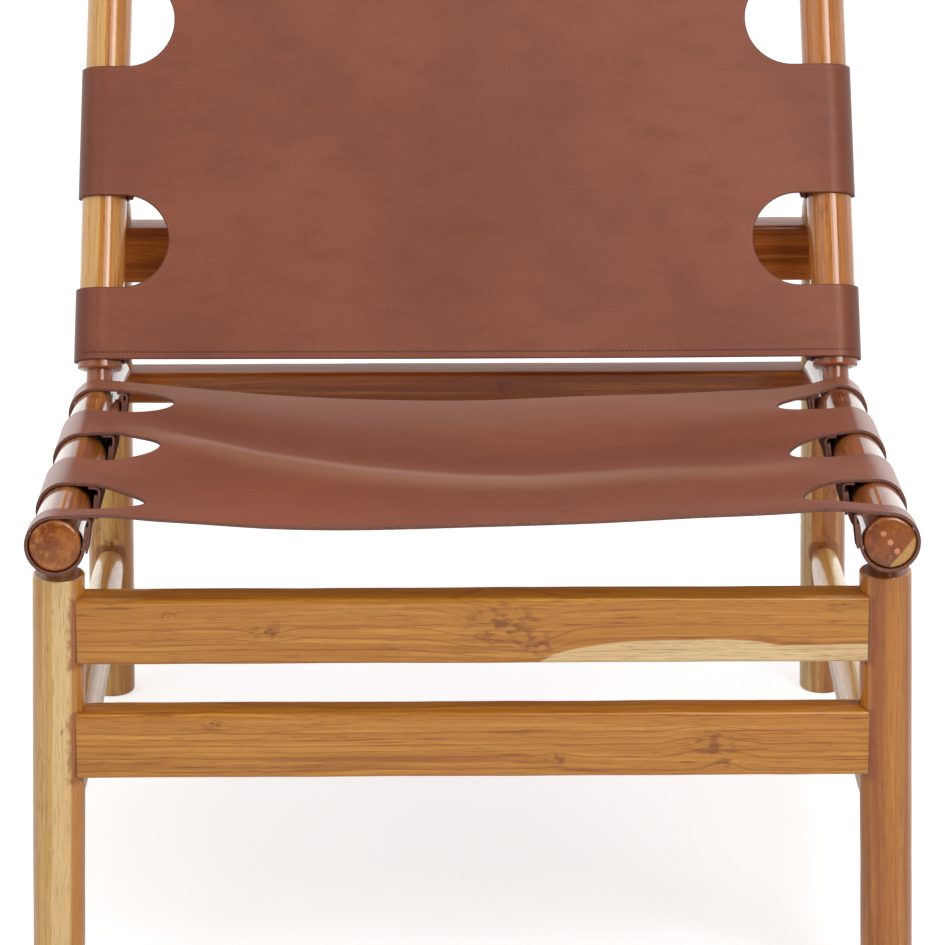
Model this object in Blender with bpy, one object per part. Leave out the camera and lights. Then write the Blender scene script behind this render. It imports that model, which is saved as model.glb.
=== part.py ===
"""Sling accent chair: a lacquered teak frame of turned sticks and flat rails,
with a one-piece leather seat and a one-piece leather back looped round it.

The frame is worked out about the front legs: Y is zero on their axis and runs
to the back, X is zero in the middle, Z is zero on the floor. The finished
chair is then centred over the origin. Left and right are as seen from the
front. Lengths are in metres.
"""
import math
from collections.abc import Callable
from dataclasses import dataclass

import bmesh
import bpy
from mathutils import Matrix, Vector

for old in list(bpy.data.objects):
    bpy.data.objects.remove(old, do_unlink=True)

# Fits between pieces
JOINT_GAP = 0.0003          # glue line all round a tenon and at a scribed shoulder
STRAP_SLACK = 0.0005        # between a stick and the leather looped round it
STRAP_CLEARANCE = 0.0035    # between a leather edge and a neck beside it
CUT_OVERRUN = 0.008         # how far every cutter runs past the surface it opens

# Turned sticks
LEG_DIAMETER = 0.040
SEAT_RAIL_DIAMETER = 0.040
POST_DIAMETER = 0.038
NECK_DIAMETER = 0.022       # the turned neck and tenon at the end of each upright
STRETCHER_DIAMETER = 0.032  # at its swelled middle
STRETCHER_END_DIAMETER = 0.0225
END_EDGE_RADIUS = 0.0035    # rounded rim of a stick that ends in the open
SHOULDER_EDGE_RADIUS = 0.0018  # eased rim of a turned shoulder
FOOT_EDGE_RADIUS = 0.0025   # eased rim of a foot
STICK_SIDES = 32
CUTTER_SIDES = 24
RIM_STEPS = 3
FOOT_STEPS = 2
SHARP_ANGLE = math.radians(35)
ROUND_PROFILE_SHARE = 0.5   # a bevel with a circular profile

# Side frames
SIDE_SPACING = 0.624        # between the two seat rail axes
FRONT_FOOT_SPACING = 0.6448  # the front legs splay a little to the floor
SEAT_RAIL_HEIGHT = 0.391    # rail axis over the front leg axis
SEAT_RAIL_SLOPE = math.radians(7.2)
SEAT_RAIL_OVERHANG = 0.044  # rail end in front of the front leg axis
REAR_LEG_SETBACK = 0.6293   # where the rail axis meets the rear leg axis
LEG_NECK_SHOWN = 0.012      # bare neck between front leg shoulder and rail

# Back posts
POST_SETBACK = 0.4895       # where the post axis leaves the top of the rail
POST_RECLINE = math.radians(26.5)
POST_LENGTH = 0.435         # from the top of the rail, along the post
POST_NECK_SHOWN = 0.0080    # bare neck between rail and post shoulder
POST_TOP_SPACING = 0.603    # the posts close in a little towards the top
BRACE_ABOVE_MIDDLE = 0.04075  # rear leg and post axes meet this far above the back's middle
BRACE_TAPER_LOW = 0.118     # where the rear leg starts to taper, short of that joint
BRACE_TAPER_HIGH = 0.062    # where it is down to its neck

# Tenons
NECK_TENON = 0.026          # neck depth in the seat rail
REAR_TENON = 0.026          # seat rail depth in the rear leg
RAIL_CHEEK = 0.009          # straight cone between seat rail and its rear tenon
BRACE_TENON = 0.006         # rear leg tenon past the post axis
STRETCHER_TENON = 0.024     # stretcher depth in each leg
FLAT_TENON = 0.020          # flat rail tenon depth in a leg
FLAT_TENON_THICKNESS = 0.011
FLAT_TENON_EDGE = 0.007     # shoulder above and below a flat tenon
TENON_WEB = 0.002           # wood left between two tenons that meet in one leg

# Flat rails. The front ones hang from the side rails' height at the front legs,
# the rear ones are set out from the point where a side rail meets its rear leg.
FRONT_RAIL_HEIGHT = 0.053
FRONT_RAIL_THICKNESS = 0.028
FRONT_RAIL_PROUD = 0.015    # front face ahead of the leg axis
FRONT_UPPER_DROP = 0.0755   # side rail axis down to the middle of the upper rail
FRONT_LOWER_DROP = 0.1686
REAR_UPPER_HEIGHT = 0.050
REAR_UPPER_RISE = 0.1125    # from the joint up to the middle of the upper rail
REAR_LOWER_HEIGHT = 0.028
REAR_LOWER_DROP = 0.0125
REAR_RAIL_THICKNESS = 0.030
FLAT_RAIL_EDGE_RADIUS = 0.004
FLAT_RAIL_STEPS = 3

# Side stretchers, below the same two points
STRETCHER_FRONT_DROP = 0.245
STRETCHER_REAR_DROP = 0.1785
STRETCHER_STATIONS = 12
STRETCHER_SIDES = 28

# Filler plugs in the front end of the right seat rail
PLUG_DIAMETER = 0.0046
PLUG_LENGTH = 0.008
PLUG_PITCH = 0.0085
PLUG_LEAN = math.radians(-52)
PLUG_COUNT = 3
PLUG_SIDES = 12

# Leather
LEATHER = 0.0025
SEAT_REAR_STRAP = 0.036
SEAT_MIDDLE_STRAP = 0.094
SEAT_SAG_FRONT = 0.0085
SEAT_SAG_MIDDLE = 0.026
SEAT_SAG_REAR = 0.0215
BACK_START = 0.0145         # lower leather edge above the rail, along the post
BACK_END_STRAP = 0.0615
BACK_MIDDLE_STRAP = 0.111
BACK_TOP_SHOWN = 0.029      # bare post above the leather
BACK_SAG = 0.006
CUTOUT_REACH = 0.062        # inner end of a cutout, from the stick axis
BRACE_SLOT_MARGIN = 0.0025  # slot in the leather round the rear leg's neck
LOOP_LEAVE = math.radians(262)   # where the strap end leaves the stick, from its top
SHEET_COLUMNS = 5
SLOT_COLUMNS = 5
LOOP_STEPS = 13
MIDDLE_STRAP_STEPS = 2

# Tabs under the leather, one to each strap end
TAB_THICKNESS = 0.0018
TAB_LAP = 0.009             # flat part, sewn under the sheet
TAB_DROP = 0.005            # free end below the stick's axis
TAB_BEND = 0.0035           # from the flat part to the hanging part
TAB_BEND_STEPS = 3
FOLD_PASSES = 4             # enough to settle where the hanging part meets the sheet

# Sizes that follow
LEG_RADIUS = LEG_DIAMETER / 2
RAIL_RADIUS = SEAT_RAIL_DIAMETER / 2
POST_RADIUS = POST_DIAMETER / 2
NECK_RADIUS = NECK_DIAMETER / 2
SIDE_X = SIDE_SPACING / 2
STUB_TENON = LEG_RADIUS - NECK_RADIUS - TENON_WEB
BACK_LENGTH = POST_LENGTH - BACK_START - BACK_TOP_SHOWN
BRACE_JOINT = BACK_START + BACK_LENGTH / 2 + BRACE_ABOVE_MIDDLE
JOINT_HEIGHT = SEAT_RAIL_HEIGHT - REAR_LEG_SETBACK * math.tan(SEAT_RAIL_SLOPE)
FRONT_UPPER_LEVEL = SEAT_RAIL_HEIGHT - FRONT_UPPER_DROP
FRONT_LOWER_LEVEL = SEAT_RAIL_HEIGHT - FRONT_LOWER_DROP
REAR_UPPER_LEVEL = JOINT_HEIGHT + REAR_UPPER_RISE
REAR_LOWER_LEVEL = JOINT_HEIGHT - REAR_LOWER_DROP
STRETCHER_FRONT_LEVEL = SEAT_RAIL_HEIGHT - STRETCHER_FRONT_DROP
STRETCHER_REAR_LEVEL = JOINT_HEIGHT - STRETCHER_REAR_DROP

X_AXIS = Vector((1, 0, 0))
UP = Vector((0, 0, 1))


def rail_axis(side, y):
    """Point on a seat rail's axis, y behind the front legs."""
    return Vector((side * SIDE_X, y, SEAT_RAIL_HEIGHT - y * math.tan(SEAT_RAIL_SLOPE)))


def rail_direction():
    """Along the seat rails, to the back."""
    return Vector((0, math.cos(SEAT_RAIL_SLOPE), -math.sin(SEAT_RAIL_SLOPE)))


def rail_normal():
    """Square to the seat rails, upwards."""
    return Vector((0, math.sin(SEAT_RAIL_SLOPE), math.cos(SEAT_RAIL_SLOPE)))


def post_base(side):
    """Where the post axis leaves the top of the seat rail."""
    return rail_axis(side, POST_SETBACK) + rail_normal() * RAIL_RADIUS


def post_top(side):
    base = post_base(side)
    rise = POST_LENGTH * math.cos(POST_RECLINE)
    run = POST_LENGTH * math.sin(POST_RECLINE)
    return Vector((side * POST_TOP_SPACING / 2, base.y + run, base.z + rise))


def post_direction(side):
    return (post_top(side) - post_base(side)).normalized()


def front_leg_axis(side):
    """Foot on the floor, and the point where the leg axis meets the rail axis."""
    foot = Vector((side * FRONT_FOOT_SPACING / 2, 0, 0))
    return foot, rail_axis(side, 0)


def rear_leg_axis(side):
    """Foot on the floor, and the joint on the post axis."""
    joint = post_base(side) + post_direction(side) * BRACE_JOINT
    crossing = rail_axis(side, REAR_LEG_SETBACK)
    slant = (joint - crossing) / (joint.z - crossing.z)
    return crossing - slant * crossing.z, joint


def at_height(axis, height):
    """Point of a leg axis at a height above the floor."""
    foot, head = axis
    return foot + (head - foot) * (height / (head.z - foot.z))


def material(name, colour, roughness):
    """Principled material of one sub-part."""
    made = bpy.data.materials.new(name)
    made.use_nodes = True
    shader = made.node_tree.nodes["Principled BSDF"]
    shader.inputs["Base Color"].default_value = (*colour, 1)
    shader.inputs["Roughness"].default_value = roughness
    shader.inputs["Metallic"].default_value = 0
    return made


chair = bpy.data.objects.new("chair", None)
bpy.context.scene.collection.objects.link(chair)


def add_object(name, bm, finish=None):
    """Make a mesh object of a bmesh, carried by the chair's empty."""
    bmesh.ops.recalc_face_normals(bm, faces=bm.faces)
    mesh = bpy.data.meshes.new(name)
    bm.to_mesh(mesh)
    bm.free()
    mesh.shade_smooth()
    mesh.set_sharp_from_angle(angle=SHARP_ANGLE)
    made = bpy.data.objects.new(name, mesh)
    bpy.context.scene.collection.objects.link(made)
    made.parent = chair
    if finish:
        mesh.materials.append(finish)
    return made


def as_cutter(made):
    """A helper shape: it is drawn as wire and isn't a piece of the chair."""
    made.hide_render = True
    made.display_type = "WIRE"
    return made


def combine(target, helper, operation="DIFFERENCE"):
    """Cut or join a helper shape with a Boolean modifier."""
    step = target.modifiers.new(helper.name, "BOOLEAN")
    step.operation = operation
    step.object = helper


def along(base, direction):
    """Matrix that puts local +Z along a direction, from a base point."""
    return Matrix.Translation(base) @ direction.to_track_quat("Z", "Y").to_matrix().to_4x4()


def quarter_round(distance, radius, size, towards, steps=RIM_STEPS):
    """Points of a rounded rim that closes (towards +1) or opens (-1) a stick."""
    turns = [math.pi / 2 * k / steps for k in range(steps + 1)]
    points = [(distance - towards * size * (1 - math.sin(t)), radius - size * (1 - math.cos(t)))
              for t in turns]
    return points if towards > 0 else points[::-1]


def turned(name, base, direction, profile, sides=STICK_SIDES, finish=None):
    """Lathe a profile of (distance, radius) points about an axis."""
    bm = bmesh.new()
    ring = [bm.verts.new((radius, 0, distance)) for distance, radius in profile]
    edges = [bm.edges.new(pair) for pair in zip(ring, ring[1:])]
    bmesh.ops.spin(bm, geom=ring + edges, cent=(0, 0, 0), axis=UP,
                   angle=math.tau, steps=sides, use_merge=True)
    rims = [edge for edge in bm.edges if edge.is_boundary]
    bmesh.ops.holes_fill(bm, edges=rims, sides=sides)
    made = add_object(name, bm, finish)
    made.matrix_world = along(base, direction)
    return made


def bore(name, base, direction, depth, radius):
    """Round cutter for a tenon's socket, from just outside the surface."""
    start = base - direction * CUT_OVERRUN
    return as_cutter(turned(name, start, direction, [(0, radius), (depth + CUT_OVERRUN, radius)],
                            sides=CUTTER_SIDES))


def board(name, low, high, rounding=0, finish=None):
    """Rectangular bar between two corners, its long edges (along X) rounded."""
    bm = bmesh.new()
    bmesh.ops.create_cube(bm, size=1)
    size = high - low
    bmesh.ops.scale(bm, vec=size, verts=bm.verts)
    bmesh.ops.translate(bm, vec=(low + high) / 2, verts=bm.verts)
    if rounding:
        long_edges = [e for e in bm.edges if abs((e.verts[0].co - e.verts[1].co).x) > size.x / 2]
        bmesh.ops.bevel(bm, geom=long_edges, offset=rounding, segments=FLAT_RAIL_STEPS,
                        profile=ROUND_PROFILE_SHARE, affect="EDGES")
    return add_object(name, bm, finish)


# Finishes
TEAK = material("teak_honey", (0.50, 0.27, 0.11), 0.28)
TEAK_PALE = material("teak_pale", (0.58, 0.35, 0.16), 0.28)
TEAK_DARK = material("teak_dark", (0.36, 0.16, 0.06), 0.28)
PLUG_WOOD = material("filler_plug", (0.62, 0.30, 0.12), 0.35)
HIDE = material("saddle_leather", (0.24, 0.085, 0.055), 0.45)

SIDES = (("left", -1), ("right", 1))


def flatten_foot(made, direction):
    """Saw a leg off level with the floor, then ease the sawn rim."""
    bm = bmesh.new()
    bm.from_mesh(made.data)
    to_local = made.matrix_world.inverted()
    floor_point = to_local @ Vector((0, 0, 0))
    floor_normal = (to_local.to_3x3() @ UP).normalized()
    geometry = list(bm.verts) + list(bm.edges) + list(bm.faces)
    cut = bmesh.ops.bisect_plane(bm, geom=geometry, plane_co=floor_point,
                                 plane_no=floor_normal, clear_inner=True)
    rim = [item for item in cut["geom_cut"] if isinstance(item, bmesh.types.BMEdge)]
    bmesh.ops.holes_fill(bm, edges=rim, sides=0)
    bmesh.ops.bevel(bm, geom=rim, offset=FOOT_EDGE_RADIUS, segments=FOOT_STEPS,
                    profile=ROUND_PROFILE_SHARE, affect="EDGES")
    bmesh.ops.recalc_face_normals(bm, faces=bm.faces)
    bm.to_mesh(made.data)
    bm.free()
    made.data.shade_smooth()
    made.data.set_sharp_from_angle(angle=SHARP_ANGLE)


def front_leg(label, side):
    """Upright with a flat shoulder under the rail and a turned neck into it."""
    foot, head = front_leg_axis(side)
    direction = (head - foot).normalized()
    below = LEG_RADIUS
    rail_bottom = (head - foot).length - RAIL_RADIUS + below
    shoulder = rail_bottom - LEG_NECK_SHOWN
    profile = [(0, LEG_RADIUS)]
    profile += quarter_round(shoulder, LEG_RADIUS, SHOULDER_EDGE_RADIUS, 1)
    profile += [(shoulder, NECK_RADIUS), (rail_bottom + NECK_TENON, NECK_RADIUS)]
    leg = turned("front_leg_" + label, foot - direction * below, direction, profile, finish=TEAK)
    flatten_foot(leg, direction)
    return leg


def rear_leg(label, side):
    """Brace that carries the rear end of the rail and runs up into the back of the post."""
    foot, joint = rear_leg_axis(side)
    direction = (joint - foot).normalized()
    below = LEG_RADIUS
    full = (joint - foot).length + below
    profile = [(0, LEG_RADIUS), (full - BRACE_TAPER_LOW, LEG_RADIUS)]
    profile += [(full - BRACE_TAPER_HIGH, NECK_RADIUS), (full + BRACE_TENON, NECK_RADIUS)]
    leg = turned("rear_leg_" + label, foot - direction * below, direction, profile, finish=TEAK_PALE)
    flatten_foot(leg, direction)
    return leg


def seat_rail(label, side):
    """Side rail with a rounded front end and a coned tenon into the rear leg."""
    direction = rail_direction()
    start = rail_axis(side, 0) - direction * SEAT_RAIL_OVERHANG
    reach = (rail_axis(side, REAR_LEG_SETBACK) - start).length
    leg_face = reach - LEG_RADIUS
    foot, joint = rear_leg_axis(side)
    skew = direction.angle(joint - foot) - math.pi / 2
    neck = leg_face - NECK_RADIUS * math.tan(abs(skew)) - JOINT_GAP
    profile = quarter_round(0, RAIL_RADIUS, END_EDGE_RADIUS, -1)
    profile += [(neck - RAIL_CHEEK, RAIL_RADIUS), (neck, NECK_RADIUS)]
    profile += [(leg_face + REAR_TENON, NECK_RADIUS)]
    return turned("seat_rail_" + label, start, direction, profile, finish=TEAK)


def back_post(label, side):
    """Reclined post with a flat shoulder and a turned neck into the rail."""
    direction = post_direction(side)
    start = post_base(side) - direction * NECK_TENON
    shoulder = NECK_TENON + POST_NECK_SHOWN
    profile = [(0, NECK_RADIUS), (shoulder, NECK_RADIUS)]
    profile += quarter_round(shoulder, POST_RADIUS, SHOULDER_EDGE_RADIUS, -1)
    profile += quarter_round(NECK_TENON + POST_LENGTH, POST_RADIUS, END_EDGE_RADIUS, 1)
    return turned("back_post_" + label, start, direction, profile, finish=TEAK)


def side_stretcher(label, side):
    """Round stretcher, swelled in the middle, let into both legs."""
    front = at_height(front_leg_axis(side), STRETCHER_FRONT_LEVEL)
    rear = at_height(rear_leg_axis(side), STRETCHER_REAR_LEVEL)
    direction = (rear - front).normalized()
    inset = LEG_RADIUS - STRETCHER_TENON
    start = front + direction * inset
    length = (rear - front).length - 2 * inset
    swell = (STRETCHER_DIAMETER - STRETCHER_END_DIAMETER) / 2
    profile = [(0, STRETCHER_END_DIAMETER / 2)]
    for k in range(STRETCHER_STATIONS + 1):
        share = k / STRETCHER_STATIONS
        distance = STRETCHER_TENON + (length - 2 * STRETCHER_TENON) * share
        radius = STRETCHER_END_DIAMETER / 2 + swell * math.sqrt(math.sin(math.pi * share))
        profile.append((distance, radius))
    profile.append((length, STRETCHER_END_DIAMETER / 2))
    return turned("side_stretcher_" + label, start, direction, profile,
                  sides=STRETCHER_SIDES, finish=TEAK_PALE)


def side_sockets(label, side, leg, brace, rail, post):
    """Bore one side frame for the round tenons that meet in it."""
    neck_bore = NECK_RADIUS + JOINT_GAP
    foot, head = front_leg_axis(side)
    up_leg = (head - foot).normalized()
    rail_bottom = head - up_leg * RAIL_RADIUS
    combine(rail, bore("leg_bore_" + label, rail_bottom, up_leg, NECK_TENON + JOINT_GAP, neck_bore))

    down_post = -post_direction(side)
    combine(rail, bore("post_bore_" + label, post_base(side), down_post,
                       NECK_TENON + JOINT_GAP, neck_bore))

    foot, joint = rear_leg_axis(side)
    up_brace = (joint - foot).normalized()
    crossing = rail_axis(side, REAR_LEG_SETBACK)
    leg_face = crossing - rail_direction() * LEG_RADIUS
    combine(brace, bore("rail_bore_" + label, leg_face, rail_direction(),
                        REAR_TENON + JOINT_GAP, neck_bore))

    combine(post, bore("brace_bore_" + label, joint - up_brace * BRACE_TAPER_HIGH, up_brace,
                       BRACE_TAPER_HIGH + BRACE_TENON + JOINT_GAP, neck_bore))

    front = at_height(front_leg_axis(side), STRETCHER_FRONT_LEVEL)
    rear = at_height(rear_leg_axis(side), STRETCHER_REAR_LEVEL)
    run = (rear - front).normalized()
    stretcher_bore = STRETCHER_END_DIAMETER / 2 + JOINT_GAP
    depth = STRETCHER_TENON + JOINT_GAP
    combine(leg, bore("stretcher_front_bore_" + label, front + run * LEG_RADIUS, -run,
                      depth, stretcher_bore))
    combine(brace, bore("stretcher_rear_bore_" + label, rear - run * LEG_RADIUS, run,
                        depth, stretcher_bore))


def flat_rail(name, axes, level, height, thickness, face_ahead, tenon_depth, legs, finish):
    """Rectangular rail: ends scribed to the round legs, with a flat tenon into each."""
    ends = [at_height(axis, level) for axis in axes]
    low = Vector((ends[0].x, ends[0].y - face_ahead, level - height / 2))
    high = Vector((ends[1].x, ends[0].y - face_ahead + thickness, level + height / 2))
    rail = board(name, low, high, FLAT_RAIL_EDGE_RADIUS, finish)

    middle_y = (low.y + high.y) / 2
    reach = LEG_RADIUS - tenon_depth
    half_thickness = FLAT_TENON_THICKNESS / 2
    tenon_low = Vector((low.x + reach, middle_y - half_thickness, low.z + FLAT_TENON_EDGE))
    tenon_high = Vector((high.x - reach, middle_y + half_thickness, high.z - FLAT_TENON_EDGE))
    gap = Vector((JOINT_GAP, JOINT_GAP, JOINT_GAP))
    for axis, leg, label in zip(axes, legs, ("left", "right")):
        foot, head = axis
        direction = (head - foot).normalized()
        start = at_height(axis, level) - direction * height
        scribe = turned(name + "_scribe_" + label, start, direction,
                        [(0, LEG_RADIUS + JOINT_GAP), (2 * height, LEG_RADIUS + JOINT_GAP)])
        combine(rail, as_cutter(scribe))
        mortise = board(name + "_mortise_" + label, tenon_low - gap, tenon_high + gap)
        combine(leg, as_cutter(mortise))
    tenon = as_cutter(board(name + "_tenon", tenon_low, tenon_high))
    combine(rail, tenon, "UNION")
    return rail


def rail_plugs(rail):
    """Three small filler plugs in a slanting row across the rail's front end."""
    direction = rail_direction()
    start = rail_axis(1, 0) - direction * SEAT_RAIL_OVERHANG
    row = X_AXIS * math.cos(PLUG_LEAN) + rail_normal() * math.sin(PLUG_LEAN)
    radius = PLUG_DIAMETER / 2
    for k in range(PLUG_COUNT):
        place = start + row * (PLUG_PITCH * (k - (PLUG_COUNT - 1) / 2))
        turned(f"rail_plug_{k + 1}", place, direction, [(0, radius), (PLUG_LENGTH, radius)],
               sides=PLUG_SIDES, finish=PLUG_WOOD)
        combine(rail, bore(f"plug_bore_{k + 1}", place, direction, PLUG_LENGTH + JOINT_GAP,
                           radius + JOINT_GAP))


@dataclass
class Sling:
    """One hide and the pair of sticks that it hangs between.

    Distance u runs along the sticks from the origin, and half_spacing and sag
    are functions of it. straps is the width of each strap in turn, and cut the
    width of the slot between two of them.
    """
    name: str
    origin: Vector
    direction: Vector
    normal: Vector
    stick_radius: float
    half_spacing: Callable
    sag: Callable
    straps: tuple
    cut: float

    def bands(self):
        """Start and end of each strap, as distances along the sticks."""
        found = []
        reach = 0
        for width in self.straps:
            found.append((reach, reach + width))
            reach += width + self.cut
        return found

    def place(self, u, x, height):
        return self.origin + self.direction * u + X_AXIS * x + self.normal * height


def rounded_corner(start, corner, end, steps):
    """Points of a smooth turn from start to end that heads for the corner first."""
    shares = [k / steps for k in range(steps + 1)]
    return [start * (1 - t) ** 2 + corner * 2 * t * (1 - t) + end * t ** 2 for t in shares]


def strap_section(plan, u):
    """Half of a strap's section at distance u, as (x, height) points.

    The sheet hangs as a parabola, meets the stick at a tangent, goes over its
    top, round it and up its inner side, and ends there. The tab lies flat under
    the sheet, turns down and is sewn to that end. The height of the sheet, where
    it touches the stick, the loop and the tab are given in turn.
    """
    spacing = plan.half_spacing(u)
    radius = plan.stick_radius + STRAP_SLACK + LEATHER / 2
    leave = math.atan(2 * plan.sag(u) / spacing)
    touch_x = spacing - radius * math.sin(leave)
    touch_height = radius * math.cos(leave)

    def sheet(x):
        return touch_height - (touch_x ** 2 - x ** 2) / (2 * touch_x) * math.tan(leave)

    loop = []
    for k in range(LOOP_STEPS + 1):
        angle = -leave + (LOOP_LEAVE + leave) * k / LOOP_STEPS
        loop.append(Vector((spacing + radius * math.sin(angle), radius * math.cos(angle))))
    upwards = Vector((math.cos(LOOP_LEAVE), -math.sin(LOOP_LEAVE)))
    inwards = Vector((-upwards.y, upwards.x))

    def raised(point, height):
        """Where a line up through the point reaches a height."""
        return point + upwards * ((height - point.y) / upwards.y)

    step = (LEATHER + TAB_THICKNESS) / 2 + JOINT_GAP
    foot = raised(loop[-1] + inwards * step, -TAB_DROP)
    fold = foot
    for _ in range(FOLD_PASSES):
        fold = raised(foot, sheet(fold.x) - step)
    loop.append(raised(loop[-1], fold.y - TAB_BEND - JOINT_GAP))
    flat = Vector((fold.x + TAB_LAP, sheet(fold.x + TAB_LAP) - step))
    along_sheet = (flat - fold).normalized()
    turn = rounded_corner(fold - upwards * TAB_BEND, fold, fold + along_sheet * TAB_BEND,
                          TAB_BEND_STEPS)
    return sheet, touch_x, loop, [foot] + turn + [flat]


def leather_object(name, bm, thickness):
    """Object of a bmesh surface that runs through the middle of the leather."""
    bmesh.ops.remove_doubles(bm, verts=bm.verts, dist=JOINT_GAP / 10)
    made = add_object(name, bm, HIDE)
    hide = made.modifiers.new("hide", "SOLIDIFY")
    hide.thickness = thickness
    hide.offset = 0
    hide.use_even_offset = True
    return made


def hide_surface(plan):
    """One hide, cut flat with slots between its straps and looped round two sticks.

    The inner end of each slot is a half circle.
    """
    slot_radius = plan.cut / 2

    def columns(u):
        """(x, height, half width of the slots) of each column at distance u."""
        sheet, touch_x, loop, _ = strap_section(plan, u)
        tip = plan.half_spacing(u) - CUTOUT_REACH
        points = [(tip * k / SHEET_COLUMNS, 0) for k in range(SHEET_COLUMNS + 1)]
        for k in range(1, SLOT_COLUMNS + 1):
            turn = math.pi / 2 * k / SLOT_COLUMNS
            x = min(tip + slot_radius * (1 - math.cos(turn)), touch_x - CUT_OVERRUN)
            points.append((x, slot_radius * math.sin(turn)))
        found = [(x, sheet(x), half) for x, half in points]
        return found + [(point.x, point.y, slot_radius) for point in loop]

    bm = bmesh.new()
    slot_halves = [half for _, _, half in columns(0)]
    count = len(slot_halves)
    bands = plan.bands()
    for band, (low, high) in enumerate(bands):
        end_band = band in (0, len(bands) - 1)
        rows = 1 if end_band else MIDDLE_STRAP_STEPS
        lines = []
        for index in range(-(count - 1), count):
            column = abs(index)
            half = slot_halves[column]
            first = low if band == 0 else low - slot_radius + half
            last = high if band == len(bands) - 1 else high + slot_radius - half
            line = []
            for row in range(rows + 1):
                u = first + (last - first) * row / rows
                x, height, _ = columns(u)[column]
                mirrored = -x if index < 0 else x
                line.append(bm.verts.new(plan.place(u, mirrored, height)))
            lines.append(line)
        for left, right in zip(lines, lines[1:]):
            for row in range(rows):
                bm.faces.new((left[row], right[row], right[row + 1], left[row + 1]))
    return leather_object(plan.name + "_sling", bm, LEATHER)


def strap_tabs(plan):
    """A short strip to each strap end, sewn under the sheet and to the end of the strap."""
    for band, (low, high) in enumerate(plan.bands()):
        for label, side in SIDES:
            bm = bmesh.new()
            lines = []
            for u in (low, high):
                tab = strap_section(plan, u)[3]
                lines.append([bm.verts.new(plan.place(u, side * point.x, point.y)) for point in tab])
            near, far = lines
            for k in range(len(near) - 1):
                bm.faces.new((near[k], near[k + 1], far[k + 1], far[k]))
            leather_object(f"{plan.name}_tab_{band + 1}_{label}", bm, TAB_THICKNESS)


def seat():
    """Seat: four straps a side, from the rail's front end to the post necks."""
    direction = rail_direction()
    length = (SEAT_RAIL_OVERHANG + POST_SETBACK / math.cos(SEAT_RAIL_SLOPE)
              - NECK_RADIUS - STRAP_CLEARANCE)
    front_strap = SEAT_RAIL_OVERHANG - NECK_RADIUS - STRAP_CLEARANCE - STRAP_CLEARANCE
    straps = (front_strap, SEAT_MIDDLE_STRAP, SEAT_MIDDLE_STRAP, SEAT_REAR_STRAP)

    def sag(u):
        share = u / length
        ends = SEAT_SAG_FRONT + (SEAT_SAG_REAR - SEAT_SAG_FRONT) * share
        belly = SEAT_SAG_MIDDLE - (SEAT_SAG_FRONT + SEAT_SAG_REAR) / 2
        return ends + belly * 4 * share * (1 - share)

    start = Vector((0, 0, SEAT_RAIL_HEIGHT)) - direction * SEAT_RAIL_OVERHANG
    plan = Sling("seat", start, direction, rail_normal(), RAIL_RADIUS, lambda u: SIDE_X, sag,
                 straps, (length - sum(straps)) / (len(straps) - 1))
    hide_surface(plan)
    strap_tabs(plan)


def back():
    """Back: three straps a side, the middle one slotted for the rear leg's neck."""
    base = (post_base(-1) + post_base(1)) / 2
    top = (post_top(-1) + post_top(1)) / 2
    direction = (top - base).normalized()
    straps = (BACK_END_STRAP, BACK_MIDDLE_STRAP, BACK_END_STRAP)

    def half_spacing(u):
        share = (BACK_START + u) / POST_LENGTH
        return (SIDE_SPACING + (POST_TOP_SPACING - SIDE_SPACING) * share) / 2

    plan = Sling("back", base + direction * BACK_START, direction, X_AXIS.cross(direction),
                 POST_RADIUS, half_spacing, lambda u: BACK_SAG, straps,
                 (BACK_LENGTH - sum(straps)) / (len(straps) - 1))
    leather = hide_surface(plan)
    strap_tabs(plan)
    for label, side in SIDES:
        foot, joint = rear_leg_axis(side)
        up_brace = (joint - foot).normalized()
        start = joint - up_brace * BRACE_TAPER_HIGH
        combine(leather, bore("brace_slot_" + label, start, up_brace,
                              BRACE_TAPER_HIGH, NECK_RADIUS + BRACE_SLOT_MARGIN))


def centre_chair():
    """Stand the finished chair over the origin: its box is centred on X and Y."""
    view = bpy.context.evaluated_depsgraph_get()
    low, high = [], []
    for made in chair.children:
        if made.hide_render:
            continue
        solid = made.evaluated_get(view)
        corners = [solid.matrix_world @ Vector(corner) for corner in solid.bound_box]
        low.append(min(corner.y for corner in corners))
        high.append(max(corner.y for corner in corners))
    chair.location.y = -(min(low) + max(high)) / 2


front_legs, rear_legs, rails = [], [], []
for label, side in SIDES:
    leg = front_leg(label, side)
    brace = rear_leg(label, side)
    rail = seat_rail(label, side)
    post = back_post(label, side)
    side_stretcher(label, side)
    side_sockets(label, side, leg, brace, rail, post)
    front_legs.append(leg)
    rear_legs.append(brace)
    rails.append(rail)

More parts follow.
